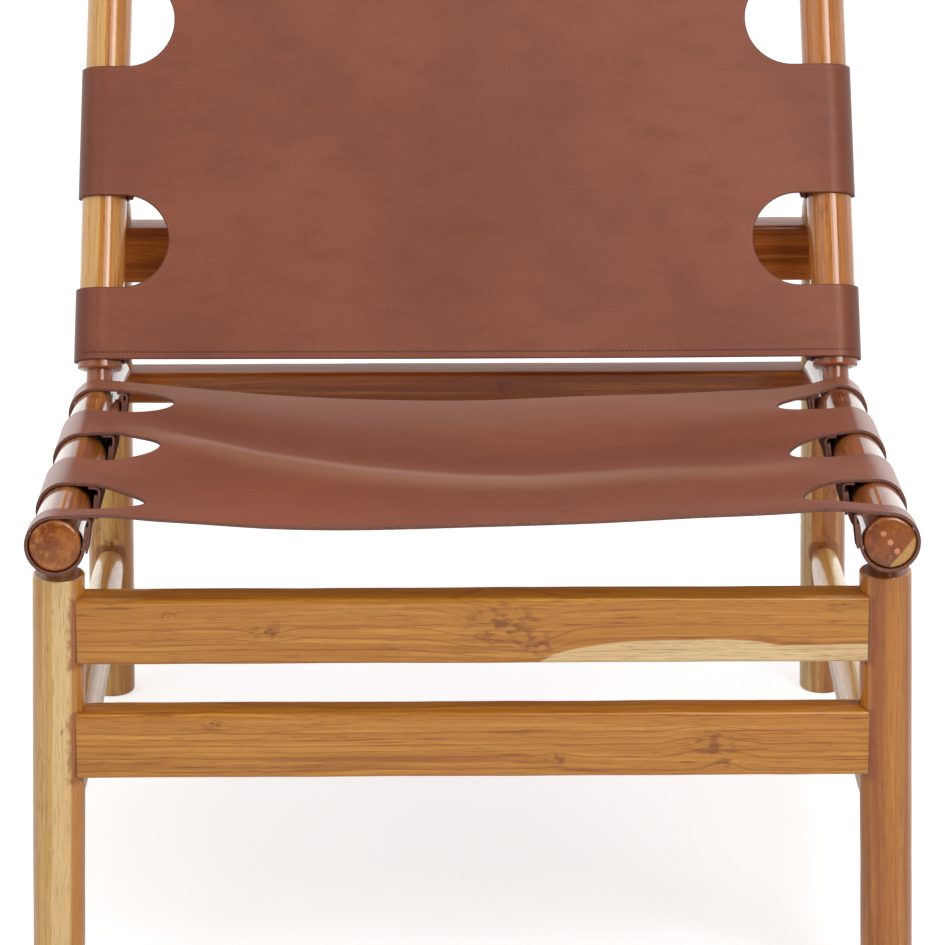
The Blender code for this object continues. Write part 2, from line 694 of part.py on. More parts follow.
front_axes = [front_leg_axis(side) for _, side in SIDES]
rear_axes = [rear_leg_axis(side) for _, side in SIDES]
flat_rail("front_rail_upper", front_axes, FRONT_UPPER_LEVEL, FRONT_RAIL_HEIGHT,
          FRONT_RAIL_THICKNESS, FRONT_RAIL_PROUD, FLAT_TENON, front_legs, TEAK)
flat_rail("front_rail_lower", front_axes, FRONT_LOWER_LEVEL, FRONT_RAIL_HEIGHT,
          FRONT_RAIL_THICKNESS, FRONT_RAIL_PROUD, FLAT_TENON, front_legs, TEAK)
flat_rail("rear_rail_upper", rear_axes, REAR_UPPER_LEVEL, REAR_UPPER_HEIGHT,
          REAR_RAIL_THICKNESS, REAR_RAIL_THICKNESS / 2, FLAT_TENON, rear_legs, TEAK_DARK)
flat_rail("rear_rail_lower", rear_axes, REAR_LOWER_LEVEL, REAR_LOWER_HEIGHT,
          REAR_RAIL_THICKNESS, REAR_RAIL_THICKNESS / 2, STUB_TENON, rear_legs, TEAK_DARK)
rail_plugs(rails[1])
seat()
back()
bpy.context.view_layer.update()
centre_chair()
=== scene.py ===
"""Looks of the sling accent chair: lacquered teak sticks and rails, with a
saddle leather seat and back looped round them. Lengths are in metres, in the
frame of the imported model: X to the right, -Y to the front, Z up from the floor.
"""
import math
from types import SimpleNamespace

import bmesh
import bpy
import numpy as np
from mathutils import Matrix, Vector


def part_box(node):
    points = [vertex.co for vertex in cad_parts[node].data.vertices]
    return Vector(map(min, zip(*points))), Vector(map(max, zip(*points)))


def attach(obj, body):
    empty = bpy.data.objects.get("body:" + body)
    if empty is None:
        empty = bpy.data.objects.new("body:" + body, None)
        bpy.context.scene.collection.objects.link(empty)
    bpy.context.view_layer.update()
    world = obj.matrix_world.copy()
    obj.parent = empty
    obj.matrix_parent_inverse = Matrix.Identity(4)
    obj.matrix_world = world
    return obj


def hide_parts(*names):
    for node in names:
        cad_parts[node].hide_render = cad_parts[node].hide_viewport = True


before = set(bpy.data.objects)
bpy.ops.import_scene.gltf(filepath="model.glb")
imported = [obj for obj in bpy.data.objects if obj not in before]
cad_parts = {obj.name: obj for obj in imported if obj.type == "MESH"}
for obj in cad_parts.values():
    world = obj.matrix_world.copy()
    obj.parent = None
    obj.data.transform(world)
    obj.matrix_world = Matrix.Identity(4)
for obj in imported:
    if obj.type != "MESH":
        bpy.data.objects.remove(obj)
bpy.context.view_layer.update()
bpy.ops.object.select_all(action="DESELECT")

# Camera: in front of the chair and well back, a little to its left, tilted down
# by about a fifth of a right angle, with a long lens.
PICTURE_WIDTH = 945
FOCAL_LENGTH_PIXELS = 5176.1
SENSOR_WIDTH = 36.0
CAMERA_PLACE = (-0.026, -3.998, 1.734)
CAMERA_TILT = math.radians(90 - 19.454)
CAMERA_PAN = math.radians(-0.410)
CAMERA_ROLL = math.radians(-0.10)

camera_turn = (Matrix.Rotation(CAMERA_PAN, 3, "Z") @ Matrix.Rotation(CAMERA_TILT, 3, "X")
               @ Matrix.Rotation(CAMERA_ROLL, 3, "Z"))
bpy.ops.object.camera_add(location=CAMERA_PLACE, rotation=camera_turn.to_euler())
camera = bpy.context.object
camera.data.sensor_width = SENSOR_WIDTH
camera.data.lens = SENSOR_WIDTH * FOCAL_LENGTH_PIXELS / PICTURE_WIDTH
camera.data.clip_end = 60
bpy.context.scene.camera = camera
bpy.context.scene.view_settings.view_transform = "Standard"


# Studio: a wide white floor that fades into a white room with brighter side
# walls, one tall soft box in front on the right with a board that only shines in
# the lacquer, a broad one on the left and a small one overhead.
FLOOR_WIDTH = 60
FLOOR_WHITE = 0.77
FLOOR_GLOW = 0.62
ROOM_LIGHT = 0.50
ROOM_SHEEN_BEHIND = 0.80
ROOM_SHEEN_IN_FRONT = 0.08
ROOM_SHEEN_SIDES = 2.4
FLOOR_SHEEN_BEHIND = 1.6
FLOOR_SHEEN_IN_FRONT = 0.3
# Where the sheen turns from its front to its rear value: places on the floor in
# metres, and directions of the room, along Y and to its sides.
FLOOR_TURNS, ROOM_TURNS, SIDES_TURN = (0.2, 1.2), (-0.7, 0.3), (0.10, 0.32)


def colour(red, green, blue):
    """Linear colour of a paint chip read as 0 to 255 values."""
    shares = (red / 255, green / 255, blue / 255)
    return tuple(s / 12.92 if s <= 0.04045 else ((s + 0.055) / 1.055) ** 2.4 for s in shares) + (1,)


class Mixer:
    """A look being mixed from nodes: each call adds one step and hands back its result."""

    def __init__(self, tree):
        self.tree = tree

    def feed(self, socket, value):
        if isinstance(value, bpy.types.NodeSocket):
            self.tree.links.new(value, socket)
        else:
            socket.default_value = value

    def step(self, kind, values=(), output=0, **options):
        made = self.tree.nodes.new("ShaderNode" + kind)
        for option, value in options.items():
            setattr(made, option, value)
        for socket, value in values.items() if isinstance(values, dict) else enumerate(values):
            self.feed(made.inputs[socket], value)
        return made.outputs[output]

    def maths(self, operation, *values):
        return self.step("Math", values, operation=operation)

    def mix(self, share, first, second, blend="MIX"):
        return self.step("Mix", {0: share, 6: first, 7: second}, 2, data_type="RGBA", blend_type=blend)

    def spread(self, value, low, high, to_low=0.0, to_high=1.0, curve="SMOOTHSTEP"):
        """The value's stretch from low to high, carried over to another range."""
        return self.step("MapRange", (value, low, high, to_low, to_high), interpolation_type=curve)

    def cloud(self, place, scale, offset, detail=2.0, output=0):
        """Noise on a place that is stretched by a scale for each axis."""
        moved = self.step("Mapping", {"Vector": place, "Location": offset, "Scale": scale})
        return self.step("TexNoise", {"Vector": moved, "Scale": 1.0, "Detail": detail}, output)

    def axes(self, place, names):
        """The place's distances along the named axes."""
        return [self.step("SeparateXYZ", (place,), name) for name in names]

    def seen_directly(self):
        """1 for the camera, and 1 for mirrored or bent light; light on surfaces sees neither."""
        camera, glossy, through = (self.step("LightPath", output=f"Is {kind} Ray")
                                   for kind in ("Camera", "Glossy", "Transmission"))
        return camera, self.maths("MAXIMUM", glossy, through)


class Finish(Mixer):
    """A material being mixed for its shader."""

    def __init__(self, name):
        self.material = bpy.data.materials.new(name)
        self.material.use_nodes = True
        super().__init__(self.material.node_tree)
        self.shader = self.tree.nodes["Principled BSDF"]
        self.spot = self.step("TexCoord", output="Object")

    def shade(self, values):
        """Give the shader's sockets their values, and hand back the material."""
        for socket, value in values.items():
            self.feed(self.shader.inputs[socket], value)
        return self.material


floor_finish = Finish("studio_white")
floor_finish.tree.nodes.remove(floor_finish.shader)
floor_camera, floor_mirror = floor_finish.seen_directly()
floor_depth, = floor_finish.axes(floor_finish.spot, "Y")
floor_sheen = floor_finish.spread(floor_depth, *FLOOR_TURNS, FLOOR_SHEEN_IN_FRONT, FLOOR_SHEEN_BEHIND)
floor_seen = floor_finish.maths("MAXIMUM", floor_camera,
                                floor_finish.maths("MULTIPLY", floor_mirror, floor_sheen))
floor_glow = floor_finish.maths("MULTIPLY", floor_seen, FLOOR_GLOW)
floor_paint = floor_finish.step("BsdfDiffuse", {"Color": (FLOOR_WHITE, FLOOR_WHITE, FLOOR_WHITE, 1)})
floor_light = floor_finish.step("Emission", {"Strength": floor_glow})
floor_finish.feed(floor_finish.tree.nodes["Material Output"].inputs["Surface"],
                  floor_finish.step("AddShader", (floor_paint, floor_light)))

bpy.ops.mesh.primitive_plane_add(size=FLOOR_WIDTH)
floor = bpy.context.object
floor.name = "floor"
floor.data.materials.append(floor_finish.material)

room = bpy.data.worlds.new("white_room")
bpy.context.scene.world = room
room.use_nodes = True
room_mixer = Mixer(room.node_tree)
room_camera, room_mirror = room_mixer.seen_directly()
room_aside, room_depth = room_mixer.axes(room_mixer.step("TexCoord", output="Generated"), "XY")
depth_sheen = room_mixer.spread(room_depth, *ROOM_TURNS, ROOM_SHEEN_IN_FRONT, ROOM_SHEEN_BEHIND, "LINEAR")
side_sheen = room_mixer.spread(room_mixer.maths("ABSOLUTE", room_aside), *SIDES_TURN,
                               1, ROOM_SHEEN_SIDES, "LINEAR")
room_sheen = room_mixer.spread(room_mirror, 0, 1, ROOM_LIGHT,
                               room_mixer.maths("MULTIPLY", depth_sheen, side_sheen), "LINEAR")
backdrop = room.node_tree.nodes["Background"]
backdrop.inputs["Color"].default_value = (1, 1, 1, 1)
room_mixer.feed(backdrop.inputs["Strength"],
                room_mixer.spread(room_camera, 0, 1, room_sheen, 1, "LINEAR"))

LAMP_AIM = Vector((0, 0, 0.40))
for lamp_name, azimuth, height_angle, distance, width, tall, power, lights_up in (
        ("key_box", 34, 36, 3.0, 0.9, 1.9, 31, True),
        ("shine_board", 25, 38, 3.1, 1.7, 1.9, 39, False),
        ("left_box", -52, 30, 3.2, 2.2, 2.0, 15, True),
        ("top_box", 10, 78, 2.6, 1.5, 1.2, 15, True)):
    turn, rise = math.radians(azimuth), math.radians(height_angle)
    away = Vector((math.sin(turn) * math.cos(rise), -math.cos(turn) * math.cos(rise), math.sin(rise)))
    bpy.ops.object.light_add(type="AREA", location=LAMP_AIM + away * distance,
                             rotation=away.to_track_quat("Z", "Y").to_euler())
    lamp = bpy.context.object
    lamp.name = lamp_name
    lamp.data.shape = "RECTANGLE"
    lamp.data.size = width
    lamp.data.size_y = tall
    lamp.data.energy = power
    lamp.visible_camera = False
    lamp.visible_diffuse = lights_up


# Front legs: turned teak uprights, sawn level at the foot, with a flat shoulder
# and a thinner neck that is glued up into the side rail.
LEG_RADIUS = 0.020
NECK_RADIUS = 0.011
RAIL_RADIUS = 0.020
FRONT_FOOT_SPACING = 0.6448
SIDE_SPACING = 0.624
SEAT_RAIL_HEIGHT = 0.391
LEG_NECK_SHOWN = 0.012
NECK_LET_IN = 0.012
SHOULDER_EDGE = 0.0018
FOOT_EDGE = 0.0025
FLOOR_CLEAR = 0.0001
STICK_SIDES = 72
STICK_STEP = 0.009
STICK_SANDING = (0.055, 0.00055)
STEP_DOWN = 0.0001
SMOOTH_ANGLE = math.radians(40)

PALE_TEAK = colour(229, 172, 84)
HONEY_TEAK = colour(203, 137, 52)
BROWN_TEAK = colour(170, 100, 36)
LATE_WOOD = colour(134, 62, 8)
PORE_BROWN = colour(92, 44, 14)
KNOT_BROWN = colour(112, 48, 8)
SAPWOOD = colour(240, 204, 142)
PALE_SAPWOOD = colour(246, 220, 190)
HEARTWOOD = colour(198, 126, 48)
GLUE_STAIN = colour(148, 70, 20)
WOOD_ROUGHNESS = 0.45
WOOD_SHEEN = 0.10
LACQUER_ROUGHNESS = 0.10
GRAIN_RELIEF = {"Strength": 0.25, "Distance": 0.0002}

# Patterns of the wood: waves per metre across the grain and along it, and detail.
WANDER, RIPPLE, BLOTCH, BAND = (16, 4.5, 2.0), (90, 16, 1.0), (230, 130, 3.0), (42, 1.6, 2.0)
STREAK, FIBRE, PORE, DASH = (260, 5, 3.0), (1100, 26, 3.0), (1300, 60, 1.0), (620, 15, 2.0)
# How strongly each one colours the wood.
STREAK_SHARE, FIBRE_SHARE, PORE_SHARE = 0.72, 0.30, 0.36
KNOT_SHARE, PATCH_SHARE, STAIN_SHARE = 0.70, 0.88, 0.66
RING_RIPPLE = 0.0022
LATE_START, LATE_END = 0.62, 0.97
FAINTEST_RING, STRONGEST_RING = 0.10, 0.90
# A knot is longer along the grain. Its reach, bulge, flare and heart are shares of its size.
KNOT_SQUEEZE = 0.62
KNOT_REACH, KNOT_BULGE = 1.5, 0.34
KNOT_FLARE, KNOT_HEART = (0.15, 0.85), (0.05, 0.16)
PATCH_EDGE = 0.0006
PATCH_SQUARENESS = 3.0
GRAIN_IN_PATCH = 0.45
STAIN_RAGGED = 0.011
STAIN_EDGE = (-0.0050, -0.0010)


def teak(name, start, along, face, pale=PALE_TEAK, honey=HONEY_TEAK, brown=BROWN_TEAK,
         tone=(1, 1, 1), lacquer=1.0, ring=0.0036, pith=(-0.050, 0.012), drift=0.004, brown_share=0.5,
         figure=0.40, dash=0.60, knots=(), patches=(), joints=(), seed=0.0):
    """Lacquered teak in the piece's own frame: X to its show face and Z along it.

    Growth rings lie round the pith, and figure and dash are how dark their lines and the short dashes are.
    knots are (x, y, z, size). patches of sapwood, heartwood, glue or painted shade are (y, z, half width,
    half length, colour), some with a blur of their own.
    joints are (y, z, side, half height) where glue has darkened the wood beside
    another piece.
    """
    wood = Finish(name)
    across = (face - along * face.dot(along)).normalized()
    turned = Matrix((across, along.cross(across), along)).transposed().to_euler()
    local = wood.step("Mapping", {"Vector": wood.spot, "Location": start, "Rotation": turned},
                      vector_type="TEXTURE")
    shift = (seed * 3.7, seed * 1.3, seed * 5.1)

    def pattern(place, waves, output=0):
        across_grain, along_grain, detail = waves
        return wood.cloud(place, (across_grain, across_grain, along_grain), shift, detail, output)

    def distance_from(place, stretch):
        """Distance from a place in the bent grain, with the grain's length stretched."""
        x, y, z = place
        near = wood.step("Mapping", {"Vector": bent, "Location": (-x, -y, -z * stretch),
                                     "Scale": (1, 1, stretch)})
        return wood.step("VectorMath", {0: near}, "Value", operation="LENGTH")

    bent = wood.step("VectorMath", {0: pattern(local, WANDER, "Color"), 1: (2 * drift, 2 * drift, 0),
                                    2: local}, operation="MULTIPLY_ADD")
    bent = wood.step("VectorMath", {0: bent, 1: (drift, drift, 0)}, operation="SUBTRACT")
    blotch = pattern(local, BLOTCH)
    radius = wood.maths("MULTIPLY_ADD", pattern(local, RIPPLE), RING_RIPPLE, distance_from((*pith, 0), 0))
    hearts = []
    for x, y, z, size in knots:
        distance = distance_from((x, y, z), KNOT_SQUEEZE)
        radius = wood.maths("ADD", radius,
                            wood.spread(distance, 0, size * KNOT_REACH, size * KNOT_BULGE, 0))
        flare, heart = (wood.spread(distance, size * near, size * far, 1, 0)
                        for near, far in (KNOT_FLARE, KNOT_HEART))
        flare = wood.maths("MULTIPLY", flare, wood.spread(blotch, 0.43, 0.64))
        hearts.append(wood.maths("MAXIMUM", flare, heart))

    phase = wood.maths("DIVIDE", radius, ring)
    age = wood.step("TexWhiteNoise", {"W": wood.maths("FLOOR", phase)}, noise_dimensions="1D")
    late = wood.spread(wood.maths("FRACT", phase), LATE_START, LATE_END)
    line = wood.maths("MULTIPLY", late, wood.spread(age, 0, 1, FAINTEST_RING, STRONGEST_RING))

    fibre = pattern(bent, FIBRE)
    pores = wood.spread(pattern(bent, PORE), 0.60, 0.70)
    dashes = wood.spread(pattern(bent, DASH), 0.60, 0.72)
    tint = wood.mix(wood.spread(pattern(local, BAND), 0.52 - 0.22 * brown_share,
                                0.74 - 0.22 * brown_share), honey, brown)
    tint = wood.mix(wood.spread(pattern(bent, STREAK), 0.46, 0.74, 0, STREAK_SHARE), tint, pale)
    across_grain, height = wood.axes(bent, "YZ")
    plain = 1.0
    for y, z, half_width, half_length, paint, *soft_edge in patches:
        reach = wood.maths("ADD", *(
            wood.maths("POWER", wood.maths("ABSOLUTE", wood.maths(
                "DIVIDE", wood.maths("SUBTRACT", place, middle), half)), PATCH_SQUARENESS)
            for place, middle, half in ((across_grain, y, half_width), (height, z, half_length))))
        blur = 3 * (soft_edge[0] if soft_edge else PATCH_EDGE) / half_width
        tint = wood.mix(wood.spread(reach, 1 - blur, 1 + blur, PATCH_SHARE, 0), tint, paint)
        plain = wood.maths("MULTIPLY", plain, wood.spread(reach, 1 - blur, 1 + blur, GRAIN_IN_PATCH, 1))
    for share, paint in (
            (wood.maths("MULTIPLY", line, wood.maths("MULTIPLY", plain, figure)), LATE_WOOD),
            (wood.spread(fibre, 0.44, 0.70, 0, FIBRE_SHARE), brown),
            (wood.maths("MULTIPLY", dashes, wood.maths("MULTIPLY", plain, dash)), LATE_WOOD),
            (wood.maths("MULTIPLY", pores, PORE_SHARE), PORE_BROWN),
            *((wood.maths("MULTIPLY", heart, KNOT_SHARE), KNOT_BROWN) for heart in hearts)):
        tint = wood.mix(share, tint, paint)
    for y, z, side, half_height in joints:
        beyond = wood.maths("MULTIPLY", wood.maths("SUBTRACT", y, across_grain), side)
        above = wood.maths("SUBTRACT", wood.maths("ABSOLUTE", wood.maths("SUBTRACT", height, z)),
                           half_height)
        away = wood.maths("MULTIPLY_ADD", blotch, -STAIN_RAGGED, wood.maths("MAXIMUM", beyond, above))
        tint = wood.mix(wood.spread(away, *STAIN_EDGE, STAIN_SHARE, 0), tint, GLUE_STAIN)

    grain = wood.maths("SUBTRACT", fibre, wood.maths("MULTIPLY", pores, 0.6))
    return wood.shade({"Base Color": wood.mix(1.0, tint, (*tone, 1), "MULTIPLY"),
                       "Roughness": WOOD_ROUGHNESS, "Specular IOR Level": WOOD_SHEEN,
                       "Coat Weight": lacquer, "Coat Roughness": LACQUER_ROUGHNESS,
                       "Normal": wood.step("Bump", {**GRAIN_RELIEF, "Height": grain})})


def rim(distance, radius, size, towards, steps=5):
    """Stations of a rounded rim that closes (+1) or opens (-1) a stick."""
    turns = [math.pi / 2 * k / steps for k in range(steps + 1)]
    stations = [(distance - towards * size * (1 - math.sin(t)), radius - size * (1 - math.cos(t)))
                for t in turns]
    return stations if towards > 0 else stations[::-1]


def cylinder_run(start, end, radius):
    """Evenly spaced stations of a plain stretch, without its two ends."""
    count = max(1, round((end - start) / STICK_STEP))
    return [(start + (end - start) * k / count, radius) for k in range(1, count)]


def sand_by_hand(piece, sanding):
    """Leave unevenness of a wave length and height, and shade smooth between sharp edges."""
    if sanding:
        uneven = bpy.data.textures.new(piece.name + "_sanding", "CLOUDS")
        wave = piece.modifiers.new("hand_sanding", "DISPLACE")
        wave.texture = uneven
        uneven.noise_scale, wave.strength = sanding
        bpy.ops.object.modifier_apply(modifier=wave.name)
    bpy.ops.object.shade_smooth_by_angle(angle=SMOOTH_ANGLE)


def turn_stick(node, start, along, stations, finish, sides=STICK_SIDES, sanding=STICK_SANDING):
    """Turn a stick as on a lathe: a disc at its end, drawn out and scaled station by station."""
    distance, radius = stations[0]
    bpy.ops.mesh.primitive_circle_add(vertices=sides, radius=radius, fill_type="NGON",
                                      location=start + along * distance,
                                      rotation=along.to_track_quat("Z", "Y").to_euler())
    stick = bpy.context.object
    stick.name = node + "_finished"
    bpy.ops.object.transform_apply()
    bpy.ops.object.mode_set(mode="EDIT")
    bpy.ops.mesh.select_all(action="SELECT")
    for further, wider in stations[1:]:
        bpy.ops.mesh.extrude_region_move(
            TRANSFORM_OT_translate={"value": along * (further - distance)})
        if wider != radius:
            bpy.ops.transform.resize(value=(wider / radius,) * 3,
                                     center_override=start + along * further)
        distance, radius = further, wider
    bpy.ops.mesh.select_all(action="SELECT")
    bpy.ops.mesh.normals_make_consistent(inside=False)
    bpy.ops.object.mode_set(mode="OBJECT")
    sand_by_hand(stick, sanding)
    stick.data.materials.append(finish)
    return stick


def stand_on_floor(leg):
    """Saw a leg off level with the floor and ease the sawn rim."""
    bpy.ops.object.mode_set(mode="EDIT")
    bpy.ops.mesh.select_all(action="SELECT")
    bpy.ops.mesh.bisect(plane_co=(0, 0, FLOOR_CLEAR), plane_no=(0, 0, 1), clear_inner=True,
                        use_fill=True)
    bpy.ops.mesh.select_all(action="DESELECT")
    bpy.ops.mesh.select_mode(type="FACE")
    shape = bmesh.from_edit_mesh(leg.data)
    sole = min(shape.faces, key=lambda face: face.calc_center_median().z)
    sole.select_set(True)
    shape.select_flush(True)
    bmesh.update_edit_mesh(leg.data)
    bpy.ops.mesh.bevel(offset=FOOT_EDGE, segments=3, affect="EDGES")
    bpy.ops.mesh.select_all(action="SELECT")
    bpy.ops.mesh.normals_make_consistent(inside=False)
    bpy.ops.object.mode_set(mode="OBJECT")
    bpy.ops.object.shade_smooth_by_angle(angle=SMOOTH_ANGLE)


def keep_as(piece, node):
    """The finished piece rides on the chair in the place of its node."""
    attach(piece, "root")
    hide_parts(node)
    piece.select_set(False)
    return piece


TOWARDS_FRONT = Vector((0, -1, 0))
TOWARDS_TOP = Vector((0, 0, 1))
SIDES = (("left", -1), ("right", 1))
leg_low, leg_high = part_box("front_leg_left")
FRONT_Y = (leg_low.y + leg_high.y) / 2

LEFT_JOINTS = ((0.0105, 0.3155, 1, 0.0265), (0.0105, 0.2225, 1, 0.0265))
RIGHT_JOINTS = ((-0.0105, 0.3155, -1, 0.0265), (-0.0105, 0.2225, -1, 0.0265))
# A dark band painted round the top of each front leg, under the rail's end, is painted shade.
LEG_TOP_PAINTED_SHADE = (0.0, 0.3655, 0.030, 0.0068, colour(118, 62, 34))
FRONT_LEG_LOOKS = {
    "left": dict(honey=colour(226, 178, 102), pale=colour(238, 200, 128), brown=colour(200, 142, 70),
                 tone=(0.95, 0.94, 0.95), brown_share=0.25, pith=(-0.030, -0.060), seed=1.0,
                 drift=0.0035, figure=0.25, dash=0.32,
                 patches=((0.0025, 0.18, 0.0068, 0.60, SAPWOOD), (0.0190, 0.18, 0.0085, 0.60, HEARTWOOD),
                          LEG_TOP_PAINTED_SHADE),
                 knots=((0.019, 0.0040, 0.2365, 0.0035),), joints=LEFT_JOINTS),
    "right": dict(honey=colour(191, 121, 45), pale=colour(206, 141, 61), brown=colour(165, 94, 35),
                  brown_share=0.55, pith=(-0.040, 0.045), seed=2.0, drift=0.004, figure=0.30, dash=0.42,
                  patches=(LEG_TOP_PAINTED_SHADE,),
                  knots=((0.018, -0.004, 0.262, 0.006),), joints=RIGHT_JOINTS),
}


def leg_foot(side):
    return Vector((side * FRONT_FOOT_SPACING / 2, FRONT_Y, 0))


def leg_head(side):
    return Vector((side * SIDE_SPACING / 2, FRONT_Y, SEAT_RAIL_HEIGHT))


for label, side in SIDES:
    foot = leg_foot(side)
    up = (leg_head(side) - foot).normalized()
    start = foot - up * LEG_RADIUS
    rail_bottom = (leg_head(side) - foot).length - RAIL_RADIUS + LEG_RADIUS
    shoulder = rail_bottom - LEG_NECK_SHOWN
    stations = [(0, LEG_RADIUS)] + cylinder_run(0, shoulder - SHOULDER_EDGE, LEG_RADIUS)
    stations += rim(shoulder, LEG_RADIUS, SHOULDER_EDGE, 1)
    stations += [(shoulder + STEP_DOWN, NECK_RADIUS), (rail_bottom + NECK_LET_IN, NECK_RADIUS)]
    node = "front_leg_" + label
    finish = teak("teak_" + node, foot, up, TOWARDS_FRONT, **FRONT_LEG_LOOKS[label])
    leg = turn_stick(node, start, up, stations, finish)
    stand_on_floor(leg)
    keep_as(leg, node)


# Flat front rails: two planed teak boards with softened edges, let into the
# front legs with glued tenons.
BOARD_EDGE = 0.0036
BOARD_CUTS = 90
BOARD_SANDING = (0.070, 0.0009)
GLUE_LINE = (0.050, 0.0011, colour(104, 56, 26))
FRONT_RAIL_LOOKS = {
    "front_rail_upper": dict(pith=(-0.004, 0.085), ring=0.0046, drift=0.0055, brown_share=-0.10,
                             tone=(0.92, 0.84, 0.575), figure=0.66, dash=0.72,
                             knots=((0.014, -0.006, 0.337, 0.030), (0.014, 0.010, 0.362, 0.016),
                                    (0.014, 0.000, 0.158, 0.014), (0.014, -0.014, 0.084, 0.006),
                                    (0.014, -0.018, 0.590, 0.007)),
                             patches=((0.045, 0.470, 0.0370, 0.113, PALE_SAPWOOD),
                                      (0.045, 0.610, 0.0330, 0.200, PALE_SAPWOOD)), seed=3.0),
    "front_rail_lower": dict(pith=(-0.010, -0.075), ring=0.0050, drift=0.005, brown_share=-0.15,
                             tone=(0.92, 0.84, 0.555), figure=0.62, dash=0.72,
                             knots=((0.014, 0.000, 0.500, 0.020), (0.014, 0.012, 0.380, 0.009),
                                    (0.014, 0.014, 0.510, 0.010), (0.014, -0.020, 0.118, 0.009)),
                             seed=4.0),
}


def plane_board(node, look):
    """Plane a board to its node's box: a cube, cut into lengths and eased along its edges."""
    low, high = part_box(node)
    left_end = Vector((low.x, (low.y + high.y) / 2, (low.z + high.z) / 2))
    bpy.ops.mesh.primitive_cube_add(size=1, location=(low + high) / 2, scale=high - low)
    made = bpy.context.object
    made.name = node + "_finished"
    bpy.ops.object.transform_apply()
    bpy.ops.object.mode_set(mode="EDIT")
    bpy.ops.mesh.select_mode(type="EDGE")
    for pass_name in ("ease", "cut"):
        bpy.ops.mesh.select_all(action="DESELECT")
        shape = bmesh.from_edit_mesh(made.data)
        for edge in shape.edges:
            run = edge.verts[0].co - edge.verts[1].co
            edge.select_set(abs(run.x) > (high.x - low.x) / 2)
        bmesh.update_edit_mesh(made.data)
        if pass_name == "ease":
            bpy.ops.mesh.bevel(offset=BOARD_EDGE, segments=6, affect="EDGES")
        else:
            bpy.ops.mesh.subdivide_edgering(number_cuts=BOARD_CUTS, interpolation="LINEAR",
                                            smoothness=0)
    bpy.ops.object.mode_set(mode="OBJECT")
    sand_by_hand(made, BOARD_SANDING)
    made.data.materials.append(
        teak("teak_" + node, left_end, Vector((1, 0, 0)), TOWARDS_FRONT, **look))
    keep_as(made, node)


for node, look in FRONT_RAIL_LOOKS.items():
    low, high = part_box(node)
    leg_share = (low.z + high.z) / 2 / SEAT_RAIL_HEIGHT
    leg_x = (FRONT_FOOT_SPACING + (SIDE_SPACING - FRONT_FOOT_SPACING) * leg_share) / 2
    shoulder_x = leg_x - math.sqrt(LEG_RADIUS ** 2 - (FRONT_Y - low.y) ** 2)
    glue_lines = tuple((0.0, side * shoulder_x - low.x, *GLUE_LINE) for side in (-1, 1))
    plane_board(node, {**look, "patches": look.get("patches", ()) + glue_lines})


# Rear legs: turned teak, leaning forward. Each carries the back end of a side
# rail, runs on up behind the back and tapers to a neck let into the post.
SEAT_RAIL_SLOPE = math.radians(7.2)
REAR_LEG_SETBACK = 0.6293
POST_SETBACK = 0.4895
POST_RECLINE = math.radians(26.5)
POST_LENGTH = 0.435
POST_TOP_SPACING = 0.603
BRACE_JOINT = 0.251
BRACE_TAPER_LOW = 0.118
BRACE_TAPER_HIGH = 0.062
BRACE_TENON = 0.006
TAPER_STEPS = 8

RAIL_ALONG = Vector((0, math.cos(SEAT_RAIL_SLOPE), -math.sin(SEAT_RAIL_SLOPE)))
RAIL_NORMAL = Vector((0, math.sin(SEAT_RAIL_SLOPE), math.cos(SEAT_RAIL_SLOPE)))


def rail_axis(side, setback):
    """Point on a side rail's axis, a distance behind the front legs."""
    return leg_head(side) + Vector((0, setback, -setback * math.tan(SEAT_RAIL_SLOPE)))


def post_base(side):
    return rail_axis(side, POST_SETBACK) + RAIL_NORMAL * RAIL_RADIUS


def post_top(side):
    rise = POST_LENGTH * math.cos(POST_RECLINE)
    run = POST_LENGTH * math.sin(POST_RECLINE)
    base = post_base(side)
    return Vector((side * POST_TOP_SPACING / 2, base.y + run, base.z + rise))


def post_along(side):
    return (post_top(side) - post_base(side)).normalized()


def rear_leg_line(side):
    """Foot on the floor, and the joint on the post's axis."""
    joint = post_base(side) + post_along(side) * BRACE_JOINT
    crossing = rail_axis(side, REAR_LEG_SETBACK)
    return crossing - (joint - crossing) * (crossing.z / (joint.z - crossing.z)), joint


# A soft dark patch painted on each rear leg just above the stretcher's end is painted shade.
STRETCHER_PAINTED_SHADE = (0.0, 0.1420, 0.0130, 0.0115, colour(150, 88, 40), 0.0015)
REAR_LEG_LOOKS = {
    "left": dict(honey=colour(220, 162, 82), pale=colour(236, 190, 114), brown_share=0.30,
                 pith=(-0.020, 0.030), seed=5.0,
                 patches=((-0.004, 0.2, 0.005, 0.60, colour(232, 188, 112)),
                          (0.020, 0.2, 0.0085, 0.60, colour(212, 140, 58)), STRETCHER_PAINTED_SHADE),
                 knots=((0.019, 0.000, 0.152, 0.014),)),
    "right": dict(honey=colour(208, 142, 70), pale=colour(232, 186, 118), brown=colour(164, 94, 44),
                  brown_share=0.60, pith=(-0.045, -0.020), seed=6.0,
                  patches=((-0.017, 0.2, 0.006, 0.60, SAPWOOD),
                           (0.004, 0.22, 0.006, 0.14, colour(168, 98, 52)), STRETCHER_PAINTED_SHADE),
                  knots=((0.019, 0.000, 0.152, 0.014), (0.019, 0.006, 0.200, 0.010))),
}
